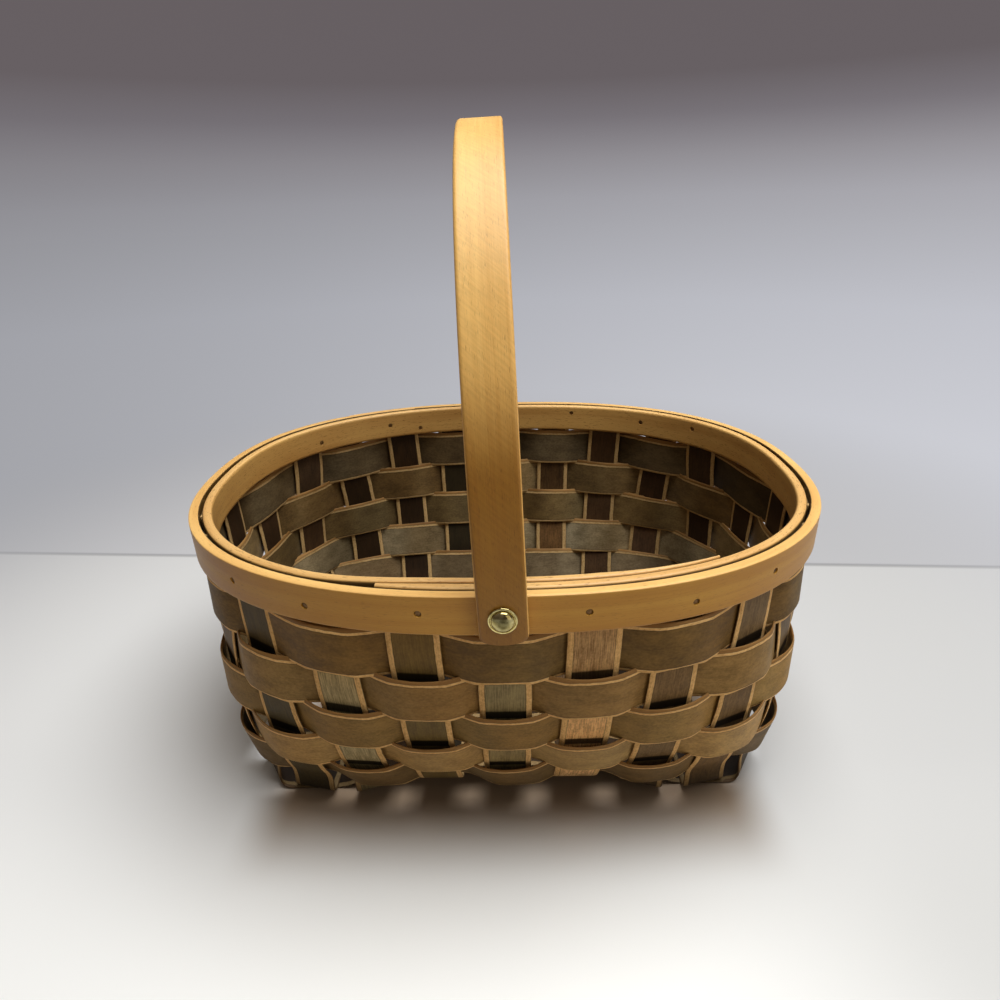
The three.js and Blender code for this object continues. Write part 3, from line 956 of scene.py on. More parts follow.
@dataclass(frozen=True)
class BentWood:
    """Honey-coloured bent wood with a satin coat, its grain along the strip, and painted shade on its broad
    faces.

    The hidden side is the face that lies against the wall, darkened by painted shade: 1 the outer one, -1
    the inner one, 0 neither.
    """

    name: str
    seed: float
    light: Colour = paint(236, 194, 120)
    dark: Colour = paint(212, 162, 90)
    fleck: Colour = paint(132, 88, 40)
    flecks: float = 0.35
    saw_marks: float = 0.0
    half_width: float = 0.00975
    half_thickness: float = 0.0021
    # Painted shade on the broad faces, darker and warmer than the lit eased edges; on the handle it fades
    # out over a band of heights.
    painted_face_shade: Colour = (0.76, 0.66, 0.45, 1.0)
    painted_shade_fade: tuple[float, float] | None = None
    edge_ease: float = 0.0003
    edge_blur: float = 0.0003
    # Painted shade on the side that lies against the wall, in the slot between the hoops.
    hidden_side: float = 0.0
    slot_shade_tone: float = 0.2
    hidden_ends: tuple[float, float] = (0.8, 0.98)
    saw_depth: float = 0.14
    shine: float = 0.42
    roughness: tuple[float, float] = (0.36, 0.5)
    relief: tuple[float, float] = (0.22, 0.0002)
    fibres: Figure = Figure(26, 2100, 0.0, 3.0, 0.6)
    bands: Figure = Figure(5, 190, 0.0, 3.0)
    patches: Figure = Figure(22, 40, 4.0)
    pores: Figure = Figure(330, 2600)
    saw: Figure = Figure(620, 70, 0.0, 1.0, 0.4)

    def material(self) -> bpy.types.Material:
        """Makes the material.

        Returns:
            The finish for a hoop or the handle.
        """
        made, graph = new_finish(self.name)
        run, across = graph.strip_map("grain")
        through, _ = graph.strip_map("face")
        deep = through * self.half_thickness
        fibres = self.fibres.read(graph, run, across, self.seed, deep)
        bands = self.bands.read(graph, run, across, self.seed, deep)
        patches = self.patches.read(graph, run, across, self.seed)
        pores = self.pores.read(graph, run, across, self.seed, deep)
        slant = self.saw.read(graph, run + across, across - run, self.seed)
        tone = (fibres - 0.5) * 0.45 + (bands - 0.5) * 0.8 + (patches - 0.5) * 0.5 + 0.5
        wood = graph.mix(tone.step(0.15, 0.85), self.dark, self.light)
        flecked = graph.mix(pores.step(0.6, 0.72, 0.0, self.flecks), wood, self.fleck)
        # Painted shade: the broad faces are darkened and the eased edges stay light.
        face_shaded = graph.mix(self.face(graph, across), flecked, graph.glaze(flecked, self.painted_face_shade))
        # Painted shade on the hidden face, in the slot between the hoops.
        hidden = (through * self.hidden_side).step(*self.hidden_ends, 1.0, self.slot_shade_tone)
        sawn = slant.step(0.3, 0.7, 1 - self.saw_marks * self.saw_depth, 1.0)
        height = fibres * 0.5 + slant * self.saw_marks - pores.step(0.6, 0.74) * 0.4
        close_finish(
            graph,
            {
                "Base Color": graph.tint(graph.tint(face_shaded, hidden), sawn),
                "Roughness": fibres.step(0.2, 0.8, *self.roughness),
                "Specular IOR Level": self.shine,
                "Normal": graph.bump(height, *self.relief),
            },
        )
        return made

    def face(self, graph: Graph, across: Wire) -> Wire:
        """Finds where the painted shade lies.

        Args:
            graph: The material's graph.
            across: Distance across the strip, in metres.

        Returns:
            1 on the strip's faces, and 0 on its edges and where the painted shade fades out.
        """
        flat = self.half_width - self.edge_ease
        face = 1 - abs(across).step(flat - self.edge_blur, flat)
        if self.painted_shade_fade:
            _, _, height = graph.split(graph.place())
            face = face * height.step(*self.painted_shade_fade, 1.0, 0.0)
        return face


@dataclass(frozen=True)
class Brass:
    """Polished yellow brass with fine wear, and a painted dark reflection of the room in the middle of the
    dome.
    """

    name: str = "brass"
    light: Colour = paint(218, 204, 144)
    dark: Colour = paint(160, 144, 88)
    # Height of the rivets' axis, round which the painted reflection darkens the dome.
    level: float = 0.1574
    reflection_tone: float = 0.3
    reflection_fade: tuple[float, float] = (0.0012, 0.0046)
    tarnish_fineness: float = 420.0
    scratch_fineness: float = 2600.0
    roughness: tuple[float, float] = (0.1, 0.24)

    def material(self) -> bpy.types.Material:
        """Makes the material.

        Returns:
            The finish for the rivets.
        """
        made, graph = new_finish(self.name)
        place = graph.place()
        x, _, height = graph.split(place)
        # Painted reflection: the middle of the dome is darkened.
        middle = graph.length(x, height - self.level).step(*self.reflection_fade, self.reflection_tone, 1.0)
        tarnish = graph.cloud(place, self.tarnish_fineness, 4.0, 0.6)
        scratches = graph.cloud(place, self.scratch_fineness, 2.0, 0.6)
        brass = graph.mix(tarnish.step(0.3, 0.7), self.dark, self.light)
        close_finish(
            graph,
            {
                "Base Color": graph.tint(brass, middle),
                "Metallic": 1.0,
                "Roughness": tarnish.step(0.3, 0.75, *self.roughness),
                "Normal": graph.bump(scratches, 0.08, 0.0001),
            },
        )
        return made


@dataclass(frozen=True)
class NailSteel:
    """Dull brown steel of the small rim nails."""

    name: str = "nail_steel"
    light: Colour = paint(140, 106, 62)
    dark: Colour = paint(84, 60, 34)
    metallic: float = 0.6
    rust_fineness: float = 900.0
    roughness: tuple[float, float] = (0.4, 0.6)

    def material(self) -> bpy.types.Material:
        """Makes the material.

        Returns:
            The finish for the nails.
        """
        made, graph = new_finish(self.name)
        rust = graph.cloud(graph.place(), self.rust_fineness, 3.0, 0.6)
        close_finish(
            graph,
            {
                "Base Color": graph.mix(rust.step(0.3, 0.7), self.dark, self.light),
                "Metallic": self.metallic,
                "Roughness": rust.step(0.3, 0.7, *self.roughness),
                "Normal": graph.bump(rust, 0.15, 0.0001),
            },
        )
        return made


@dataclass
class Weave:
    """What the uprights and the weavers share: the wall, the splints' places and who passes outside."""

    wall: Wall
    splint: float = 1.3
    width: float = 25.0
    gap: float = 0.3
    allowance: float = 0.05
    row_pitch: float = 25.6
    top_row_drop: float = 1.8
    rows: int = 5
    cross_splints: int = 7
    long_splints: int = 5
    bend_reach: float = 9.5
    side_margin: float = 1.5
    end_margin: float = 20.5
    cross_fan: float = 1.075
    long_fan: float = 1.05

    def pitch(self, kind: Kind) -> float:
        """Spaces the splints out over the base.

        Args:
            kind: Kind of the splints.

        Returns:
            The distance between the middles of two neighbours.
        """
        foot = self.wall.level(self.wall.depth)
        if kind is Kind.CROSS:
            half, margin, count = foot.half_length, self.end_margin, self.cross_splints
        else:
            half, margin, count = foot.half_width, self.side_margin, self.long_splints
        return (2 * (half - self.bend_reach - margin) - self.width) / (count - 1)

    def last(self, kind: Kind) -> int:
        """Index of the outermost splint of a kind, where the middle one is 0."""
        return (self.cross_splints if kind is Kind.CROSS else self.long_splints) // 2

    def uprights(self) -> list[Upright]:
        """Lists the uprights.

        Returns:
            All of them in order round the wall, from the left front corner.
        """
        cross = self.last(Kind.CROSS)
        long = self.last(Kind.LONG)
        order = [Upright(Kind.CROSS, index, -1) for index in range(-cross, cross + 1)]
        order += [Upright(Kind.LONG, index, 1) for index in range(-long, long + 1)]
        order += [Upright(Kind.CROSS, index, 1) for index in range(cross, -cross - 1, -1)]
        order += [Upright(Kind.LONG, index, -1) for index in range(long, -long - 1, -1)]
        return order

    @staticmethod
    def is_outside(order: int, row: int) -> bool:
        """Tells whether an upright passes outside the weaver of a row."""
        return (order + row) % 2 == 1

    def upright_arc(self, down: float, upright: Upright) -> float:
        """Length round the wall to the middle of an upright.

        Args:
            down: Length down the wall.
            upright: The upright.

        Returns:
            The length, in millimetres.
        """
        level = self.wall.level(down)
        is_cross = upright.kind is Kind.CROSS
        share_down = max(down, 0.0) / self.wall.depth
        fan = lerp(self.cross_fan if is_cross else self.long_fan, 1.0, share_down)
        place = upright.index * self.pitch(upright.kind) * fan
        if is_cross:
            return self.wall.arc_by_x(level, place, upright.side)
        return self.wall.arc_at(level, upright.side * self.wall.side_x(level, place), place)


@dataclass
class UprightSplints:
    """The twelve splints that run down one wall, through the base and up the other."""

    weave: Weave
    sway: float = 0.3
    stray: float = 0.35
    stray_pitch: float = 60.0
    stray_top: tuple[float, float] = (0.0, 30.0)
    stray_foot: tuple[float, float] = (130.0, 100.0)
    top_drop: float = 3.5
    hoop_height: float = 19.5
    base_wave: float = 0.8
    base_start: float = 1.0
    bend_fullness: float = 0.55
    step: float = 3.25
    bend_steps: int = 12
    easing: Easing = Easing(2.7, 0.6)
    names: str = "abcdefg"

    def offset(self, order: int, down: float) -> float:
        """How far an upright leans to the side that it shows on.

        Args:
            order: The upright's place round the wall.
            down: Length down the wall.

        Returns:
            The offset off the wall, in millimetres.
        """
        rows_down = (down - self.weave.top_row_drop) / self.weave.row_pitch
        row = math.floor(rows_down) + 1
        if rows_down <= 0 or row > self.weave.rows:
            return 0.0
        side = 1 if self.weave.is_outside(order, row) else -1
        return side * self.sway * math.sin(math.pi * (rows_down - row + 1))

    def wall_lines(self, order: int, upright: Upright) -> list[tuple[Vector, Vector]]:
        """Lays an upright down the wall, from its hidden top.

        Args:
            order: The upright's place round the wall.
            upright: The upright.

        Returns:
            Its two edges, pair by pair.
        """
        wall = self.weave.wall
        start = self.top_drop - self.hoop_height
        count = math.ceil((wall.depth - start) / self.step)
        half = self.weave.width / 2
        lines = []
        for index in range(count + 1):
            down = lerp(start, wall.depth, index / count)
            arc = self.weave.upright_arc(down, upright)
            stray = self.stray * wander(down, self.stray_pitch, order + 0.5)
            stray *= smoothstep(down, *self.stray_top) * smoothstep(down, *self.stray_foot)
            offset = self.offset(order, down)
            first = wall.point(down, arc + stray - half, offset)
            second = wall.point(down, arc + stray + half, offset)
            lines.append((first, second))
        return lines

    def base_height(self, kind: Kind, index: int, place: float) -> float:
        """Height of a splint's middle in the base weave.

        Args:
            kind: Kind of the splint.
            index: Index of the splint.
            place: Length along it from the middle of the base.

        Returns:
            The height, without the arch of the base.
        """
        other = Kind.LONG if kind is Kind.CROSS else Kind.CROSS
        pitch = self.weave.pitch(other)
        last = self.weave.last(other)
        turn = 1 if kind is Kind.CROSS else -1

        def side(crossing: int) -> int:
            """Over, 1, or under, -1, at a crossing."""
            return (-1 if (index + crossing) % 2 == 0 else 1) * turn

        raw = clamp(place / pitch, -last, last)
        near = min(math.floor(raw), last - 1)
        flat = (self.weave.width / 2 + self.weave.gap) / pitch
        share = smoothstep(raw - near, flat, 1 - flat)
        return self.weave.wall.base_level + self.base_wave * lerp(side(near), side(near + 1), share)

    def arch(self, x: float) -> float:
        """How far the base is pushed up at a place along the basket.

        Args:
            x: The place, from the middle.

        Returns:
            The rise, which is nothing at the outermost cross splints, on which the basket stands.
        """
        pitch = self.weave.pitch(Kind.CROSS)
        last = self.weave.last(Kind.CROSS)
        half = self.weave.width / 2 + self.weave.gap
        fall = smoothstep(abs(x), (last - 2) * pitch + half, last * pitch - half)
        return self.weave.wall.arch_rise * (1 - fall)

    def base_point(self, kind: Kind, index: int, across: float, along: float) -> Vector:
        """Finds a point of a splint's edge in the base.

        Args:
            kind: Kind of the splint.
            index: Index of the splint.
            across: Place across the splints of this kind, from the middle of the base.
            along: Place along them.

        Returns:
            The point, in millimetres.
        """
        arch = self.arch(across if kind is Kind.CROSS else along)
        return self.lay(kind, across, along, self.base_height(kind, index, along) + arch)

    def half_run(self, kind: Kind, index: int, side: int) -> list[tuple[Vector, Vector]]:
        """Lays one wall of a splint and the bend below it, from its top to the base.

        Args:
            kind: Kind of the splint.
            index: Index of the splint.
            side: The wall, -1 or 1.

        Returns:
            Its two edges, pair by pair.
        """
        upright = Upright(kind, index, side)
        order = self.weave.uprights().index(upright)
        lines = self.wall_lines(order, upright)
        if (kind is Kind.CROSS) == (side > 0):
            lines = [(second, first) for first, second in lines]
        bends = []
        for edge, turn in ((0, -1), (1, 1)):
            corner = lines[-1][edge]
            start = (corner - lines[-2][edge]).normalized()
            across = index * self.weave.pitch(kind) + turn * self.weave.width / 2
            along = self.place_along(kind, corner) - side * self.weave.bend_reach
            end = self.base_point(kind, index, across, along)
            inward = self.lay(kind, 0, -side, 0)
            reach = self.bend_fullness * (end - corner).length
            bends.append(self.curve(corner, corner + start * reach, end - inward * reach, end))
        return lines + list(zip(bends[0][1:], bends[1][1:]))

    @staticmethod
    def lay(kind: Kind, across: float, along: float, height: float) -> Vector:
        """A point by its place across and along a splint."""
        return Vector((across, along, height)) if kind is Kind.CROSS else Vector((along, across, height))

    @staticmethod
    def place_along(kind: Kind, point: Vector) -> float:
        """A point's place along the splints of a kind."""
        return point.y if kind is Kind.CROSS else point.x

    def curve(self, start: Vector, first: Vector, second: Vector, end: Vector) -> list[Vector]:
        """Bends a line smoothly between two points.

        Args:
            start: Where it starts.
            first: A point that pulls it away from its start.
            second: A point that pulls it towards its end.
            end: Where it ends.

        Returns:
            The points of the bend.
        """
        points = []
        for index in range(self.bend_steps + 1):
            share = index / self.bend_steps
            rest = 1 - share
            point = start * rest**3 + first * (3 * rest**2 * share)
            points.append(point + second * (3 * rest * share**2) + end * share**3)
        return points

    def stations(self, kind: Kind, index: int) -> list[Station]:
        """Lays a whole splint, from one top to the other.

        Args:
            kind: Kind of the splint.
            index: Index of the splint.

        Returns:
            Its stations.
        """
        first = self.half_run(kind, index, -1)
        second = self.half_run(kind, index, 1)
        ends = [self.place_along(kind, corner) for corner in (*first[-1], *second[-1])]
        reach = min(abs(end) for end in ends) - self.base_start
        count = math.ceil(2 * reach / self.step)
        half = self.weave.width / 2
        middle = index * self.weave.pitch(kind)
        base = []
        for step in range(count + 1):
            along = lerp(-reach, reach, step / count)
            edges = [self.base_point(kind, index, middle + side * half, along) for side in (-1, 1)]
            base.append((edges[0], edges[1]))
        return measure(first + base + second[::-1], self.weave.splint)

    def build(self, finishes: dict[str, StainedSplint], cutter: bpy.types.Object) -> None:
        """Builds and dresses every upright splint.

        Args:
            finishes: The finish of each splint, by the name of its solid.
            cutter: The pins that cut the rivet and nail holes.
        """
        for kind in Kind:
            last = self.weave.last(kind)
            for index in range(-last, last + 1):
                mark = self.names[index + last] if kind is Kind.CROSS else str(index + last + 1)
                node = f"{kind.value}_splint_{mark}"
                name = f"upright_{kind.value}_{mark}"
                piece = Ribbon(name, self.stations(kind, index), self.easing, away_from_middle).build()
                if kind is Kind.CROSS and index == 0:
                    cut_holes(piece, cutter)
                settle(piece, "basket", "upright", finishes[node].material(), node)


def measure(lines: Sequence[tuple[Vector, Vector]], thickness: float) -> list[Station]:
    """Turns pairs of edge points into stations with their length along the strip.

    Args:
        lines: The two edges, pair by pair.
        thickness: Thickness of the strip.

    Returns:
        The stations.
    """
    stations = []
    run = 0.0
    before = None
    for first, second in lines:
        middle = (first + second) / 2
        if before is not None:
            run += (middle - before).length
        before = middle
        stations.append(Station(first, second, run, thickness))
    return stations


@dataclass(frozen=True)
class Stop:
    """A place of a weaver, by the upright that it passes.

    It has a shift along from the upright's middle, an offset off the wall and a droop of the lower edge.
    """

    order: int
    shift: float
    offset: float
    droop: float


@dataclass
class Weavers:
    """The five strips that go round the wall, one in each row."""

    weave: Weave
    width: float = 26.2
    bow: float = 3.45
    bow_sag: float = 1.6
    end_bow: float = 2.3
    dip: float = 1.35
    hang: float = 2.0
    rise: float = 0.22
    rise_pitch: float = 45.0
    twist: float = 0.16
    twist_pitch: float = 30.0
    lap_reach: float = 5.4
    step: float = 3.2
    easing: Easing = Easing(1.9, 0.6)
    lap_orders: tuple[int, ...] = (1, 16, 13, 20, 9)

    @property
    def lift(self) -> float:
        """Distance between the middles of two splints that lie on each other."""
        return self.weave.splint + self.weave.gap + self.weave.allowance

    def pass_over(self, order: int, row: int, place: float) -> float:
        """Offset where a weaver passes an upright in a shallow arch.

        Args:
            order: The upright.
            row: The weaver's row.
            place: Where over the upright: 0 at its middle and 1 at its edges.

        Returns:
            The offset off the wall.
        """
        if self.weave.is_outside(order, row):
            return self.dip * place**2 - self.lift - self.dip
        is_end = self.weave.uprights()[order % len(self.weave.uprights())].kind is Kind.LONG
        return self.lift + (self.end_bow if is_end else self.bow) - self.bow_sag * place**2

    def droop(self, order: int, row: int, place: float) -> float:
        """How much lower the lower edge hangs, where it meets the next row or hides behind an upright."""
        return self.hang if self.weave.is_outside(order, row) else self.hang * place**2

    def path(self, row: int) -> list[Stop]:
        """Plans a weaver's way round its row.

        Args:
            row: The row, from 1 at the top.

        Returns:
            Its stops, from the end that is tucked under its own lap to the end on top of it.
        """
        rest = self.weave.width / 2 + self.weave.gap
        lap = self.lap_orders[row - 1]
        layer = self.weave.splint + self.weave.gap
        count = len(self.weave.uprights())
        tuck = self.lap_reach / rest
        shares = (-1.0, -0.5, 0.0, 0.5, 1.0)
        visits = [(lap - 1, share, layer) for share in (tuck, 1.0)]
        visits += [(order, share, 0.0) for order in range(lap, lap + count) for share in shares]
        visits += [(lap + count, share, -layer) for share in (-1.0, -0.5, 0.0, tuck)]
        stops = []
        for order, share, layer_shift in visits:
            offset = self.pass_over(order % count, row, abs(share)) + layer_shift
            stops.append(Stop(order, share * rest, offset, self.droop(order % count, row, abs(share))))
        return stops

    def arcs(self, down: float, stops: Sequence[Stop]) -> list[float]:
        """Measures the way round the wall to a weaver's stops.

        Args:
            down: Length down the wall.
            stops: The stops.

        Returns:
            The length to each stop, in millimetres.
        """
        uprights = self.weave.uprights()
        whole = self.weave.wall.girth(down)
        lengths = []
        for stop in stops:
            turns, order = divmod(stop.order, len(uprights))
            lengths.append(self.weave.upright_arc(down, uprights[order]) + stop.shift + whole * turns)
        return lengths

    def stations(self, row: int) -> list[Station]:
        """Lays a whole weaver, with its bows rounded between the stops.

        Args:
            row: The row, from 1 at the top.

        Returns:
            Its stations.
        """
        stops = self.path(row)
        spare = (self.weave.row_pitch - self.width) / 2
        top = self.weave.top_row_drop + (row - 1) * self.weave.row_pitch + spare
        bottom = top + self.width
        tops = self.arcs(top, stops)
        bottoms = self.arcs(bottom, stops)
        offsets = [stop.offset for stop in stops]
        slopes = [0.0]
        for index in range(1, len(stops) - 1):
            slopes.append((offsets[index + 1] - offsets[index - 1]) / (tops[index + 1] - tops[index - 1]))
        slopes.append(0.0)
        lines = []
        for index in range(len(stops) - 1):
            after = index + 1
            span = tops[after] - tops[index]
            count = math.ceil(span / self.step)
            bow = Bow(offsets[index], offsets[after], slopes[index], slopes[after], span)
            parts = count + 1 if after == len(stops) - 1 else count
            for part in range(parts):
                share = part / count
                offset = bow.at(share)
                upper = lerp(tops[index], tops[after], share)
                lower = lerp(bottoms[index], bottoms[after], share)
                rise = Vector((0, 0, self.rise * wander(upper, self.rise_pitch, row + 0.5)))
                twist = self.twist * wander(upper, self.twist_pitch, row + 20.5)
                hung = bottom + lerp(stops[index].droop, stops[after].droop, share)
                first = self.weave.wall.point(top, upper, offset + twist) + rise
                second = self.weave.wall.point(hung, lower, offset - twist) + rise
                lines.append((first, second))
        return measure(lines, self.weave.splint)

    def build(self, finishes: dict[str, StainedSplint]) -> None:
        """Builds and dresses every weaver.

        Args:
            finishes: The finish of each weaver, by the name of its solid.
        """
        for row in range(1, self.weave.rows + 1):
            node = f"weaver_row_{row}"
            piece = Ribbon(f"weaver_{row}", self.stations(row), self.easing, away_from_middle).build()
            settle(piece, "basket", "weaver", finishes[node].material(), node)


@dataclass(frozen=True)
class Bow:
    """A smooth piece of a weaver's path: its offset and slope at each end, and its length."""

    first: float
    second: float
    first_slope: float
    second_slope: float
    span: float

    def at(self, share: float) -> float:
        """Finds the offset at a place of the path.

        Args:
            share: How far along, 0 to 1.

        Returns:
            The offset there.
        """
        square = share * share
        cube = square * share
        return (
            self.first * (2 * cube - 3 * square + 1)
            + self.second * (3 * square - 2 * cube)
            + self.first_slope * self.span * (cube - 2 * square + share)
            + self.second_slope * self.span * (cube - square)
        )


@dataclass(frozen=True)
class Nail:
    """A rim nail: its place along the rim and its depth below the top edge, in millimetres."""

    x: float
    drop: float
    side: int


@dataclass
class Rim:
    """The two bent hoops that clamp the wall's top, and the nails through them."""

    wall: Wall
    height: float = 19.5
    outer_thickness: float = 5.0
    inner_thickness: float = 4.4
    gap: float = 0.3
    outer_face: float = 0.8
    inner_face: float = -1.6
    slot_fill: float = 0.72
    scarf_length: float = 50.0
    scarf_place: float = -70.0
    scarf_blend: float = 12.0
    scarf_tip: float = 0.72
    lap_start: float = -55.5
    lap_length: float = 160.0
    lap_taper: float = 60.0
    lap_tip: float = 1.6
    crossover: float = 70.0
    crossover_past: float = 32.0
    rise: float = 0.25
    rise_pitch: float = 70.0
    step: float = 4.0
    least_step: float = 0.8
    nail_radius: float = 1.7
    nail_depth: float = 1.5
    nail_flare: tuple[float, float] = (0.9, 1.08)
    nail_sides: int = 20
    head_share: float = 0.82
    head_depth: float = 0.55
    head_height: float = 1.2
    head_bevel: float = 0.2
    head_sharp: float = 40
    pin_length: float = 60.0
    pin_sides: int = 32
    nails: tuple[Nail, ...] = (
        Nail(-123.0, 9.4, -1),
        Nail(-85.5, 11.0, -1),
        Nail(-35.5, 8.9, -1),
        Nail(36.0, 9.5, -1),
        Nail(82.5, 11.8, -1),
        Nail(122.5, 9.4, -1),
        Nail(-139.2, 12.2, 1),
        Nail(-90.4, 9.5, 1),
        Nail(-67.2, 14.2, 1),
        Nail(-28.7, 16.2, 1),
        Nail(55.0, 5.4, 1),
        Nail(108.2, 8.7, 1),
        Nail(142.4, 6.4, 1),
    )
    outer_easing: Easing = Easing(0.5, 0.5)
    inner_easing: Easing = Easing(1.7, 1.5, 4)

    def stations(
        self, start_x: float, side: int, length: float, faces: Callable[[float], tuple[float, float]],
        breaks: Sequence[float], seed: float,
    ) -> list[Station]:
        """A hoop strip, laid round the top of the wall.

        Args:
            start_x: Place along the basket where the strip starts.
            side: Front, -1, or back, 1.
            length: Length of the strip.
            faces: Gives the offsets of its outer and inner face at a length along it.
            breaks: Lengths that need a station of their own.
            seed: A number for its small waves.

        Returns:
            The stations.
        """
        level = self.wall.level(0.0)
        start = self.wall.arc_by_x(level, start_x, side)
        count = math.ceil(length / self.step)
        even = {round(length * index / count, 3) for index in range(count + 1)}
        clear = {place for place in even if all(abs(place - one) > self.least_step for one in breaks)}
        stations = []
        for place in sorted(clear | set(breaks)):
            outer, inner = faces(place)
            middle = (outer + inner) / 2
            rise = Vector((0, 0, self.rise * wander(place, self.rise_pitch, seed)))
            first = self.wall.point(-self.height, start + place, middle) + rise
            second = self.wall.point(0.0, start + place, middle) + rise
            stations.append(Station(first, second, place, outer - inner))
        return stations

    def outer_stations(self) -> list[Station]:
        """Lays the outer hoop, closed by a scarf.

        Returns:
            Its stations.
        """
        whole = self.wall.girth(0.0)
        outer = self.outer_face + self.outer_thickness
        inner = self.outer_face

        def split(place: float) -> float:
            """Height of the scarf's slant."""
            return self.scarf_tip + (self.outer_thickness - 2 * self.scarf_tip) * place / self.scarf_length

        def faces(place: float) -> tuple[float, float]:
            """Finds the offsets of the hoop's faces.

            Args:
                place: Length along the hoop.

            Returns:
                The offsets of the outer and the inner face.
            """
            if place < self.scarf_length:
                return inner + split(place) - self.gap / 2, inner
            if place < self.scarf_length + self.scarf_blend:
                share = (place - self.scarf_length) / self.scarf_blend
                return lerp(outer - self.scarf_tip - self.gap / 2, outer, share), inner
            if place > whole:
                return outer, inner + split(place - whole) + self.gap / 2
            if place > whole - self.scarf_blend:
                share = (whole - place) / self.scarf_blend
                return outer, lerp(inner + self.scarf_tip + self.gap / 2, inner, share)
            return outer, inner

        breaks = [self.scarf_length, self.scarf_length + self.scarf_blend, whole - self.scarf_blend, whole]
        return self.stations(self.scarf_place, 1, whole + self.scarf_length, faces, breaks, 3.5)

    def inner_stations(self) -> list[Station]:
        """Lays the inner hoop, which runs once round and laps itself along the front.

        Returns:
            Its stations.
        """
        whole = self.wall.girth(0.0)
        length = whole + self.lap_length
        settled = whole + self.crossover_past
        leaving = settled - self.crossover
        inward = self.inner_face - self.inner_thickness - self.gap

        def base_face(place: float) -> float:
            """Offset of the outer face, before the slot between the hoops is filled up."""
            return lerp(self.inner_face, inward, smoothstep(place, leaving, settled))

        def faces(place: float) -> tuple[float, float]:
            """Finds the offsets of the hoop's faces.

            Args:
                place: Length along the hoop.

            Returns:
                The offsets of the outer and the inner face.
            """
            outer = base_face(place) + self.slot_fill * (1 - smoothstep(place, leaving, settled))
            if place < self.crossover_past:
                return outer, base_face(place + whole) + self.gap
            taper = clamp((length - place) / self.lap_taper, 0.0, 1.0)
            return outer, base_face(place) - lerp(self.lap_tip, self.inner_thickness, taper)

        breaks = [self.crossover_past, leaving, settled, length - self.lap_taper]
        return self.stations(self.lap_start, -1, length, faces, breaks, 6.5)

    def nail_frames(self) -> list[Matrix]:
        """Finds where nails show: each head outside, and each back nail's end inside.

        Returns:
            A place on the hoop's face for each, turned so that +Z points out of the wood.
        """
        level = self.wall.level(0.0)
        outer = self.outer_face + self.outer_thickness
        inner = self.inner_face - self.inner_thickness
        frames = []
        for nail in self.nails:
            arc = self.wall.arc_by_x(level, nail.x, nail.side)
            out = self.wall.normal(0.0, arc)
            shown = [(outer, out)]
            if nail.side > 0:
                shown.append((inner, -out))
            for offset, way in shown:
                place = self.wall.point(nail.drop - self.height, arc, offset)
                turn = way.to_track_quat("Z", "Y").to_matrix().to_4x4()
                frames.append(Matrix.Translation(place * MM) @ turn)
        return frames

    def cutter(self, rivets: "Rivets") -> bpy.types.Object:
        """The pins that cut nail and rivet holes.

        Args:
            rivets: Gives the rivet holes.

        Returns:
            An object that is removed once the holes are cut.
        """
        mesh = bmesh.new()
        deep, shallow = [self.nail_radius * share for share in self.nail_flare]
        for place in self.nail_frames():
            add_pin(mesh, self.nail_sides, deep, shallow, 2 * self.nail_depth, place)
        radius = rivets.shank / 2 + self.gap
        turn = Matrix.Rotation(math.pi / 2, 4, "X")
        for side in (-1, 1):
            place = Matrix.Translation(Vector((0, side * self.wall.half_width, rivets.level)) * MM) @ turn
            add_pin(mesh, self.pin_sides, radius, radius, self.pin_length, place)
        return add_object("pins", mesh)

    def build_nails(self) -> bpy.types.Object:
        """Builds the nails' heads and ends, sunk in their holes.

        Returns:
            One object for all of them.
        """
        mesh = bmesh.new()
        radius = self.nail_radius * self.head_share
        sink = Matrix.Translation((0, 0, -(self.head_depth + self.head_height / 2) * MM))
        for place in self.nail_frames():
            verts = add_pin(mesh, self.nail_sides, radius, radius, self.head_height, place @ sink)
            rim = list({edge for vert in verts for edge in vert.link_edges})
            bmesh.ops.bevel(
                mesh, geom=rim, offset=self.head_bevel * MM, segments=2, affect="EDGES", profile=0.5,
                material=-1,
            )
        piece = add_object("rim_nails", mesh)
        shade(piece, self.head_sharp)
        return piece

    def build(self, finishes: dict[str, BentWood], cutter: bpy.types.Object, steel: NailSteel) -> None:
        """Builds and dresses the hoops and nails.

        Args:
            finishes: The finish of each hoop, by the name of its solid.
            cutter: The pins that cut the holes.
            steel: The nails' finish.
        """
        outer = Ribbon("hoop_outer", self.outer_stations(), self.outer_easing, away_from_middle).build()
        inner = Ribbon("hoop_inner", self.inner_stations(), self.inner_easing, away_from_middle).build()
        for piece, node in ((outer, "outer_hoop"), (inner, "inner_hoop")):
            cut_holes(piece, cutter)
            settle(piece, "basket", "hoop", finishes[node].material(), node)
        settle(self.build_nails(), "basket", "hoop", steel.material())


def add_pin(
    mesh: bmesh.types.BMesh, sides: int, low_radius: float, high_radius: float, length: float, place: Matrix
) -> list[bmesh.types.BMVert]:
    """Adds a round pin, straight or flared, to a mesh.

    Args:
        mesh: The mesh.
        sides: Number of sides.
        low_radius: Radius at its lower end, in millimetres.
        high_radius: Radius at its upper end.
        length: Its length.
        place: Its middle, in metres, and its turn.

    Returns:
        Its corners.
    """
    made = bmesh.ops.create_cone(
        mesh, cap_ends=True, segments=sides, radius1=low_radius * MM, radius2=high_radius * MM,
        depth=length * MM, matrix=place,
    )
    return made["verts"]


def shade(piece: bpy.types.Object, angle: float) -> None:
    """Shades a piece smooth, apart from edges sharper than an angle in degrees."""
    piece.data.shade_smooth()
    piece.data.set_sharp_from_angle(angle=math.radians(angle))


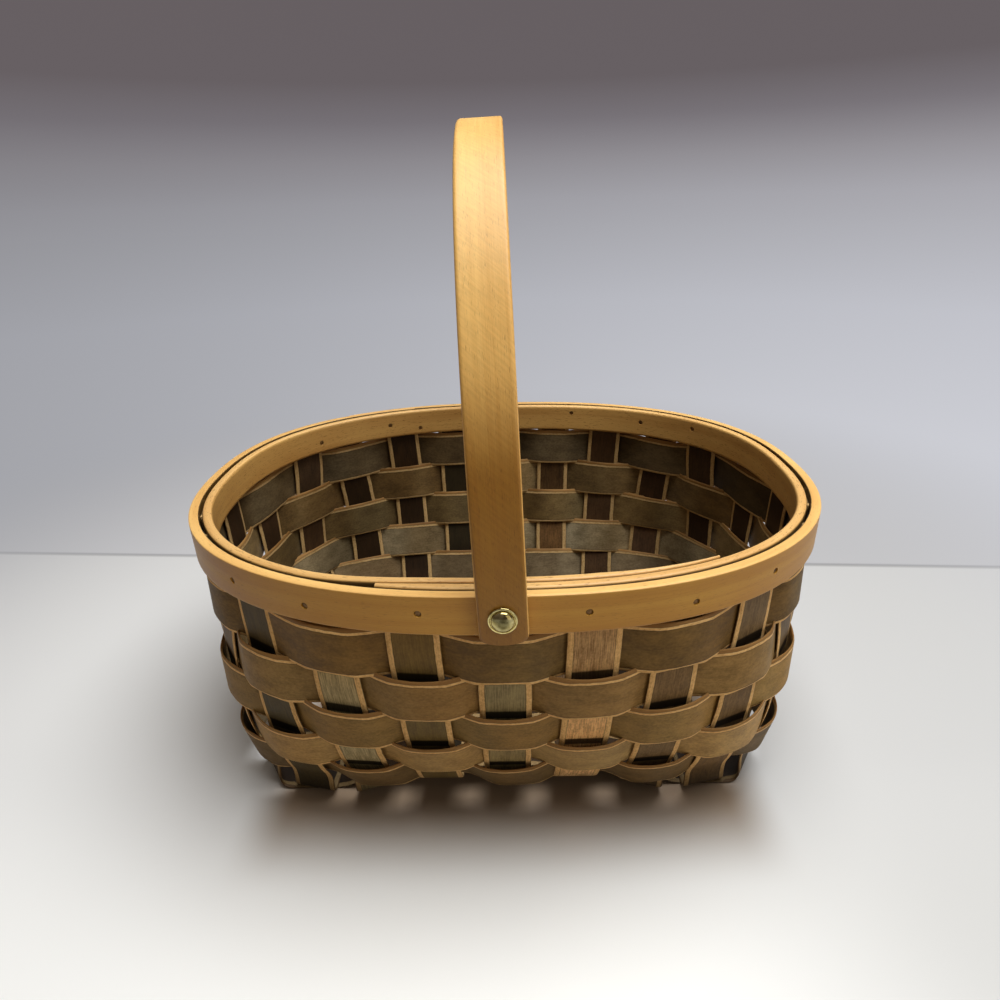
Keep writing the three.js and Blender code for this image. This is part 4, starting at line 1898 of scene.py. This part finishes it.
def cut_holes(piece: bpy.types.Object, cutter: bpy.types.Object) -> None:
    """Cuts the pins' holes in a piece and leaves no modifier on it.

    Args:
        piece: The piece to drill.
        cutter: The pins.
    """
    drill = piece.modifiers.new("holes", "BOOLEAN")
    drill.operation = "DIFFERENCE"
    drill.solver = "EXACT"
    drill.object = cutter
    bpy.context.view_layer.update()
    drilled = bpy.data.meshes.new_from_object(piece.evaluated_get(bpy.context.evaluated_depsgraph_get()))
    piece.modifiers.clear()
    old = piece.data
    piece.data = drilled
    bpy.data.meshes.remove(old)
    drilled.name = piece.name
    drilled.set_sharp_from_angle(angle=math.radians(DRILLED_SHARP))


@dataclass
class Bail:
    """The bent handle that swings on the two rivets."""

    reach: float = 145.0
    rise: float = 190.3
    power: float = 2.2
    width: float = 21.2
    thickness: float = 5.0
    tail: float = 13.0
    end_round: float = 5.4
    end_power: float = 3.0
    end_steps: int = 10
    end_share: float = 0.012
    axis_height: float = 157.4
    lean: float = math.radians(-2)
    arch_steps: int = 150
    easing: Easing = Easing(1.5, 1.4, 4, 0.7)

    def stations(self) -> list[Station]:
        """Lays the bail, from its front end over the top to its back end.

        Returns:
            Its stations, narrowed at both ends to round them.
        """
        ends = [(step / self.end_steps) ** 2 for step in range(self.end_steps)]
        tail = [(-self.reach, -self.tail + share * self.end_round, share) for share in ends]
        tail += [(-self.reach, lerp(self.end_round - self.tail, 0, share), 1.0) for share in (0.0, 0.5)]
        places = list(tail)
        for index in range(self.arch_steps + 1):
            angle = math.pi * (1 - index / self.arch_steps)
            along = abs(math.cos(angle) / self.reach) ** self.power
            up = abs(math.sin(angle) / self.rise) ** self.power
            radius = (along + up) ** (-1 / self.power)
            places.append((radius * math.cos(angle), radius * math.sin(angle), 1.0))
        places += [(-y, z, share) for y, z, share in reversed(tail)]
        turn = Matrix.Rotation(self.lean, 3, "Y")
        axis = Vector((0, 0, self.axis_height))
        lines = []
        for y, z, share in places:
            narrowed = 1 - (1 - max(share, self.end_share)) ** self.end_power
            half = self.width / 2 * narrowed ** (1 / self.end_power)
            lines.append((axis + turn @ Vector((-half, y, z)), axis + turn @ Vector((half, y, z))))
        return measure(lines, self.thickness)

    def build(self, finish: BentWood, cutter: bpy.types.Object) -> None:
        """Builds and dresses the handle.

        Args:
            finish: Its wood.
            cutter: The pins that cut the rivet holes.
        """
        piece = Ribbon("bail", self.stations(), self.easing, away_from_middle).build()
        cut_holes(piece, cutter)
        settle(piece, "bail", "handle", finish.material(), "handle")


@dataclass
class Rivets:
    """The two brass rivets, each peened over a loose ring on the inside."""

    level: float = 157.4
    shank: float = 5.0
    flange: float = 12.6
    flange_thickness: float = 1.1
    flange_ease: float = 0.45
    flange_lead: float = 0.1
    dome: float = 10.0
    dome_height: float = 2.8
    groove: float = 0.3
    groove_slope: float = 0.25
    burr: float = 11.0
    burr_thickness: float = 1.2
    burr_ease: float = 0.3
    burr_round: float = 0.3
    peen: float = 8.0
    peen_height: float = 1.3
    gap: float = 0.3
    flange_face: float = 147.8
    inner_reach_front: float = 125.5
    inner_reach_back: float = 130.2
    sides: int = 64
    sharp: float = 35
    round_steps: int = 10

    def lathe(self, name: str, profile: Sequence[tuple[float, float]], side: int) -> bpy.types.Object:
        """Spins a profile round the rivet's axis.

        Args:
            name: Name of the piece.
            profile: Radius and distance along the axis, in millimetres.
            side: Front, -1, or back, 1.

        Returns:
            The new object.
        """
        mesh = bmesh.new()
        verts = [mesh.verts.new((radius * MM, 0, reach * MM)) for radius, reach in profile]
        edges = [mesh.edges.new(pair) for pair in zip(verts, verts[1:])]
        bmesh.ops.spin(
            mesh, geom=verts + edges, cent=(0, 0, 0), axis=(0, 0, 1), angle=math.tau, steps=self.sides,
            use_merge=True,
        )
        bmesh.ops.remove_doubles(mesh, verts=mesh.verts, dist=WELD)
        bmesh.ops.recalc_face_normals(mesh, faces=mesh.faces)
        turned = Matrix.Translation((0, 0, self.level * MM)) @ Matrix.Rotation(-side * math.pi / 2, 4, "X")
        bmesh.ops.transform(mesh, matrix=turned, verts=mesh.verts)
        piece = add_object(name, mesh)
        shade(piece, self.sharp)
        return piece

    def rivet_profile(self, inner_reach: float) -> list[tuple[float, float]]:
        """Draws a rivet's peened end, shank, flange and dome.

        Args:
            inner_reach: Distance from the middle of the basket to the inner hoop's inner face.

        Returns:
            Radius and distance along the axis, corner by corner.
        """
        peen_top = inner_reach - self.burr_thickness - 2 * self.gap
        top = self.flange_face + self.flange_thickness
        quarter = [math.pi / 2 * step / self.round_steps for step in range(self.round_steps + 1)]
        profile = [
            (self.peen / 2 * math.sin(angle), peen_top - self.peen_height * math.cos(angle))
            for angle in quarter
        ]
        profile += [(self.shank / 2, peen_top), (self.shank / 2, self.flange_face)]
        profile.append((self.flange / 2 - self.flange_lead, self.flange_face))
        ease = self.flange_ease
        rim = self.flange / 2 - ease
        profile += [
            (rim + ease * math.cos(angle), top - ease + ease * math.sin(angle))
            for angle in quarter[::3]
        ]
        dome = self.dome / 2
        profile.append((dome + self.groove + self.groove_slope, top))
        profile.append((dome + self.groove, top - self.groove))
        profile.append((dome, top - self.groove))
        profile += [
            (dome * math.cos(angle), top + self.dome_height * math.sin(angle))
            for angle in quarter[1:-1]
        ]
        profile.append((0.0, top + self.dome_height))
        return profile

    def burr_profile(self, inner_reach: float) -> list[tuple[float, float]]:
        """Draws the loose ring under the peened end.

        Args:
            inner_reach: Distance from the middle of the basket to the inner hoop's inner face.

        Returns:
            Radius and distance along the axis, corner by corner.
        """
        face = inner_reach - self.gap
        hole = self.shank / 2 + self.gap
        rim = self.burr / 2
        inner = face - self.burr_thickness
        ease = self.burr_ease
        cut = ease * self.burr_round
        return [
            (hole, inner), (rim - ease, inner), (rim - cut, inner + cut), (rim, inner + ease),
            (rim, face), (hole, face), (hole, inner),
        ]

    def build(self, brass: Brass) -> None:
        """Builds and dresses both rivets and their rings.

        Args:
            brass: Their finish.
        """
        finish = brass.material()
        ends = (("front", -1, self.inner_reach_front), ("back", 1, self.inner_reach_back))
        for place, side, reach in ends:
            rivet = self.lathe(f"rivet_{place}_turned", self.rivet_profile(reach), side)
            settle(rivet, "basket", "brass", finish, f"rivet_{place}")
            burr = self.lathe(f"rivet_ring_{place}", self.burr_profile(reach), side)
            settle(burr, "basket", "brass", finish, f"rivet_burr_{place}")


@dataclass(frozen=True)
class Lamp:
    """A square soft lamp that points at the basket. Its power is in watts."""

    name: str
    place: Place
    size: float
    power: float
    colour: Place
    target: Place = (0.0, 0.0, 0.1)

    def build(self) -> None:
        """Hangs the lamp."""
        data = bpy.data.lights.new(self.name, "AREA")
        data.size = self.size
        data.energy = self.power
        data.color = self.colour
        lamp = bpy.data.objects.new(self.name, data)
        lamp.location = self.place
        lamp.rotation_euler = (Vector(self.target) - Vector(self.place)).to_track_quat("-Z", "Y").to_euler()
        bpy.context.scene.collection.objects.link(lamp)


@dataclass
class Studio:
    """Floor, light and camera. The camera stands where the photograph was taken from.

    Each fade is a pair of places between which the table's tone changes, in metres.
    """

    camera_place: Place = (0.0037, -0.3691, 0.314)
    heading: float = math.radians(-0.91)
    pitch: float = math.radians(24.8)
    roll: float = math.radians(-1.51)
    lens: float = 23.4
    sensor: float = 36.0
    floor_radius: float = 9.0
    table_far: Colour = paint(206, 209, 211)
    # Painted light: the table's paler tone in front of the basket.
    lit_table_front: Colour = paint(235, 238, 238)
    table_behind: Colour = paint(190, 193, 198)
    table_edge: float = 0.1725
    edge_slant: float = -0.0648
    edge_blur: tuple[float, float] = (-0.001, 0.001)
    edge_shadow: float = 0.66
    edge_shadow_fade: tuple[float, float] = (0.0008, 0.0045)
    # Painted light on the table in front of the basket.
    front_light_fade: tuple[float, float] = (-0.21, -0.06)
    front_light_side_fade: tuple[float, float] = (0.02, 0.24)
    # Painted light and shade: the table is lighter on the left and darker on the right and near right.
    left_right_fade: tuple[float, float] = (-0.34, 0.34)
    side_light_tones: tuple[float, float] = (1.2, 0.9)
    near_fade: tuple[float, float] = (-0.2, -0.08)
    near_right_fade: tuple[float, float] = (0.06, 0.22)
    near_shade: float = 0.13
    # Painted shadow on the table under the basket.
    painted_shadow_tint: Colour = (0.33, 0.24, 0.165, 1.0)
    painted_shadow_fade_x: tuple[float, float] = (0.123, 0.155)
    painted_shadow_fade_y: tuple[float, float] = (0.098, 0.158)
    table_end: tuple[float, float] = (0.3, 0.8)
    bounce: Colour = (0.34, 0.27, 0.2, 1.0)
    glow: Colour = (0.18, 0.145, 0.112, 1.0)
    backdrop: tuple[tuple[float, Colour], ...] = (
        (0.0, paint(193, 194, 200)),
        (0.169, paint(187, 188, 194)),
        (0.339, paint(179, 180, 187)),
        (0.451, paint(165, 165, 171)),
        (0.5, paint(158, 157, 163)),
        (0.559, paint(142, 139, 144)),
        (0.615, paint(118, 113, 118)),
        (0.667, paint(103, 96, 99)),
        (1.0, paint(101, 93, 95)),
    )
    lamps: tuple[Lamp, ...] = (
        Lamp("overhead", (0.3, -0.06, 1.34), 1.0, 23.5, (1.0, 0.99, 0.975)),
        Lamp("front_fill", (1.25, -1.15, 0.75), 1.2, 4.2, (1.0, 0.93, 0.84)),
    )

    def build_camera(self) -> None:
        """Places the camera."""
        data = bpy.data.cameras.new("camera")
        data.lens = self.lens
        data.sensor_width = self.sensor
        data.clip_start = 0.01
        level = math.cos(self.pitch)
        sine = math.sin(self.heading)
        cosine = math.cos(self.heading)
        forward = Vector((sine * level, cosine * level, -math.sin(self.pitch)))
        right = Vector((cosine, -sine, 0.0))
        up = right.cross(forward)
        turned_right = right * math.cos(self.roll) + up * math.sin(self.roll)
        turned_up = up * math.cos(self.roll) - right * math.sin(self.roll)
        turn = Matrix((turned_right, turned_up, -forward)).transposed().to_4x4()
        camera = bpy.data.objects.new("camera", data)
        camera.matrix_world = Matrix.Translation(self.camera_place) @ turn
        bpy.context.scene.collection.objects.link(camera)
        bpy.context.scene.camera = camera

    def backdrop_at(self, graph: Graph, rise: Wire, turn: Wire) -> Wire:
        """Tone of the backdrop, darker high up and on the left.

        Args:
            graph: The material's graph.
            rise: Sine of the height over the horizon.
            turn: Sine of the turn to the right of straight ahead.

        Returns:
            The tone.
        """
        place = rise * 1.2 + 0.5
        return graph.tint(graph.ramp(place, self.backdrop), turn * place.step(0.5, 0.68, 0.3, 0.0) + 1.0)

    def table_colour(self, graph: Graph, x: Wire, y: Wire) -> Wire:
        """Colour of the table: painted light paler in front, a painted shadow under the basket, painted
        light and shade from side to side, and bluer behind its far edge.

        Args:
            graph: The material's graph.
            x: Place along the basket.
            y: Place across it.

        Returns:
            The colour.
        """
        # Painted light: the table is paler in front of the basket.
        front = y.step(*self.front_light_fade, 1.0, 0.0) * abs(x).step(*self.front_light_side_fade, 1.0, 0.5)
        # Painted shadow: the film below is a warm dark tint on the table under the basket.
        under = abs(x).step(*self.painted_shadow_fade_x, 1.0, 0.0) * abs(y).step(*self.painted_shadow_fade_y, 1.0, 0.0)
        film = graph.mix(under, UNTINTED, self.painted_shadow_tint)
        table = graph.glaze(graph.mix(front, self.table_far, self.lit_table_front), film)
        from_edge = y - x * self.edge_slant - self.table_edge
        top = graph.mix(from_edge.step(*self.edge_blur), table, self.table_behind)
        edge = abs(from_edge).step(*self.edge_shadow_fade, self.edge_shadow, 1.0)
        # Painted light from left to right and painted shade on the near right of the table.
        side_light = x.step(*self.left_right_fade, *self.side_light_tones)
        near_right = y.step(*self.near_fade, 1.0, 0.0) * x.step(*self.near_right_fade)
        return graph.tint(top, edge * side_light * (1 - near_right * self.near_shade))

    def build_floor(self) -> None:
        """A large pale table top that turns to the backdrop's tone far out."""
        mesh = bmesh.new()
        bmesh.ops.create_circle(mesh, cap_ends=True, segments=96, radius=self.floor_radius)
        floor = add_object("floor", mesh)
        material, graph = new_finish("pale_floor")
        x, y, _ = graph.split(graph.place())
        seen = self.seen_rays(graph)
        grain = graph.cloud(graph.place(), 900.0, 2.0, 0.5)
        shader = graph.node(
            "ShaderNodeBsdfPrincipled", {},
            {
                "Base Color": graph.mix(seen, self.bounce, self.table_colour(graph, x, y)),
                "Roughness": grain.step(0.3, 0.7, 0.28, 0.32),
                "Specular IOR Level": 0.4,
                "Normal": graph.bump(grain, 0.03, 0.0001),
            },
        )
        far = graph.length(x, y)
        depth = far + self.camera_distance
        camera_height = self.camera_place[2]
        sight = graph.maths("SQRT", depth * depth + camera_height**2)
        tone = self.backdrop_at(graph, -camera_height / sight, x / (far + 0.05))
        lit = graph.node("ShaderNodeEmission", {}, {"Color": tone, "Strength": 1.0})
        mixed = graph.node("ShaderNodeMixShader", {}, {"Fac": far.step(*self.table_end) * seen})
        graph.tree.links.new(shader.outputs["BSDF"], mixed.inputs[1])
        graph.tree.links.new(lit.outputs["Emission"], mixed.inputs[2])
        graph.node("ShaderNodeOutputMaterial", {}, {"Surface": Wire(graph, mixed.outputs["Shader"])})
        floor.data.materials.append(material)

    @property
    def camera_distance(self) -> float:
        """Level distance from the camera to the middle of the basket."""
        return -self.camera_place[1]

    @staticmethod
    def seen_rays(graph: Graph) -> Wire:
        """Tells what the camera, a reflection or glass shows from light on its way.

        Args:
            graph: The material's graph.

        Returns:
            1 for what is shown, and 0 for light.
        """
        path = graph.node("ShaderNodeLightPath", {}, {})
        names = ("Is Camera Ray", "Is Glossy Ray", "Is Transmission Ray")
        camera, glossy, through = [Wire(graph, path.outputs[name]) for name in names]
        return graph.maths("MAXIMUM", camera, graph.maths("MAXIMUM", glossy, through))

    def build_world(self) -> None:
        """Soft light from all round, and a plain backdrop for the camera."""
        world = bpy.data.worlds.new("studio")
        bpy.context.scene.world = world
        world.use_nodes = True
        graph = Graph(world.node_tree)
        x, y, rise = graph.split(graph.place())
        turn = x / (graph.length(x, y) + 0.001)
        shown = graph.mix(self.seen_rays(graph), self.glow, self.backdrop_at(graph, rise, turn))
        light = graph.node("ShaderNodeBackground", {}, {"Color": shown, "Strength": 1.0})
        graph.node("ShaderNodeOutputWorld", {}, {"Surface": Wire(graph, light.outputs["Background"])})

    def build(self) -> None:
        """Builds the whole studio."""
        bpy.context.scene.view_settings.view_transform = "Standard"
        self.build_camera()
        self.build_floor()
        self.build_world()
        for lamp in self.lamps:
            lamp.build()


def splint_finishes() -> dict[str, StainedSplint]:
    """Mixes the stain of each splint.

    Returns:
        The finishes, by the names of their solids.
    """
    # Light and dark of the outer face, strength of its streaks and of its mottle.
    outer = {
        "cross_splint_a": ((105, 92, 60), (64, 54, 34), 0.6, 0.3),
        "cross_splint_b": ((215, 200, 153), (131, 119, 85), 1.0, 0.3),
        "cross_splint_c": ((140, 118, 68), (94, 75, 43), 0.5, 0.3),
        "cross_splint_d": ((177, 161, 114), (110, 99, 69), 0.8, 0.3),
        "cross_splint_e": ((220, 181, 126), (145, 111, 70), 1.1, 0.5),
        "cross_splint_f": ((151, 126, 88), (95, 76, 50), 0.6, 0.4),
        "cross_splint_g": ((147, 122, 84), (92, 73, 49), 0.7, 0.4),
        "long_splint_1": ((131, 108, 73), (84, 66, 41), 0.6, 0.4),
        "long_splint_2": ((138, 113, 76), (88, 68, 44), 0.7, 0.4),
        "long_splint_3": ((120, 100, 64), (78, 62, 38), 0.6, 0.4),
        "long_splint_4": ((136, 111, 73), (88, 68, 43), 0.6, 0.4),
        "long_splint_5": ((126, 102, 66), (82, 64, 41), 0.6, 0.4),
        "weaver_row_1": ((138, 109, 60), (93, 72, 38), 0.3, 0.55),
        "weaver_row_2": ((167, 134, 80), (121, 96, 54), 0.25, 0.55),
        "weaver_row_3": ((162, 131, 75), (117, 95, 53), 0.25, 0.55),
        "weaver_row_4": ((201, 169, 110), (148, 122, 79), 0.25, 0.55),
        "weaver_row_5": ((135, 111, 71), (96, 79, 49), 0.3, 0.5),
    }
    # Light and dark of the inner face. Splints that aren't named here share one stain.
    inside = {
        "weaver_row_1": ((100, 85, 59), (66, 54, 36)),
        "weaver_row_2": ((136, 112, 72), (90, 73, 46)),
        "weaver_row_3": ((117, 98, 62), (78, 63, 39)),
        "weaver_row_4": ((151, 135, 103), (102, 89, 64)),
        "weaver_row_5": ((132, 114, 84), (90, 74, 52)),
        "cross_splint_a": ((62, 45, 25), (37, 26, 15)),
        "cross_splint_b": ((58, 40, 21), (34, 23, 12)),
        "cross_splint_c": ((48, 38, 19), (28, 21, 11)),
        "cross_splint_d": ((52, 42, 24), (31, 24, 14)),
        "cross_splint_e": ((84, 61, 35), (53, 38, 21)),
        "cross_splint_f": ((88, 62, 38), (56, 40, 24)),
        "cross_splint_g": ((86, 61, 40), (54, 39, 25)),
    }
    shared_inside = ((76, 55, 35), (47, 34, 21))
    low_tones = {"cross_splint_e": 1.65}
    # Painted light on some weavers towards the right of the basket.
    painted_right_lights = {"weaver_row_1": 0.92, "weaver_row_3": 1.3, "weaver_row_4": 1.12}
    finishes = {}
    for index, (name, (light, dark, streaks, mottle)) in enumerate(outer.items()):
        inner_light, inner_dark = inside.get(name, shared_inside)
        is_weaver = name.startswith("weaver")
        finishes[name] = StainedSplint(
            f"stain_{name}",
            3.7 + 4.3 * index,
            paint(*light),
            paint(*dark),
            paint(*inner_light),
            paint(*inner_dark),
            width=0.0262 if is_weaver else 0.025,
            first_edge=HIGH_LINE if is_weaver else BAR,
            second_edge=LOW_LINE if is_weaver else BAR,
            # Uprights get the painted pocket shade, weavers don't.
            pockets=None if is_weaver else PocketShade(),
            streaks=streaks,
            mottle=mottle,
            low_tone=low_tones.get(name, 1.0),
            painted_right_light=painted_right_lights.get(name, 1.0),
        )
    return finishes


def bent_finishes() -> dict[str, BentWood]:
    """Picks the wood of the hoops and of the handle.

    Returns:
        The finishes, by the names of their solids.
    """
    return {
        # Each hoop's broad faces get painted shade, darkest on the face in the slot between the hoops.
        "outer_hoop": BentWood(
            "hoop_wood_outer", 2.3, painted_face_shade=(0.72, 0.625, 0.315, 1.0), hidden_side=-1.0
        ),
        "inner_hoop": BentWood(
            "hoop_wood_inner", 8.9, light=paint(230, 190, 122), dark=paint(200, 152, 88), flecks=0.85,
            painted_face_shade=(0.74, 0.68, 0.54, 1.0), hidden_side=1.0,
        ),
        # The handle's painted shade darkens its lower legs and fades out higher up.
        "handle": BentWood(
            "handle_wood", 5.1, light=paint(236, 192, 112), dark=paint(212, 160, 82), saw_marks=0.7,
            half_width=0.0106, painted_face_shade=(0.43, 0.34, 0.13, 1.0), painted_shade_fade=(0.212, 0.266),
        ),
    }


def main() -> None:
    """Builds the studio and every piece of the basket."""
    logging.basicConfig(level=logging.INFO, format="%(message)s")
    Studio().build()
    wall = Wall()
    weave = Weave(wall)
    rivets = Rivets()
    rim = Rim(wall)
    splints = splint_finishes()
    bent = bent_finishes()
    cutter = rim.cutter(rivets)
    UprightSplints(weave).build(splints, cutter)
    Weavers(weave).build(splints)
    rim.build(bent, cutter, NailSteel())
    Bail().build(bent["handle"], cutter)
    bpy.data.objects.remove(cutter)
    rivets.build(Brass())


if __name__ == "__main__":
    main()
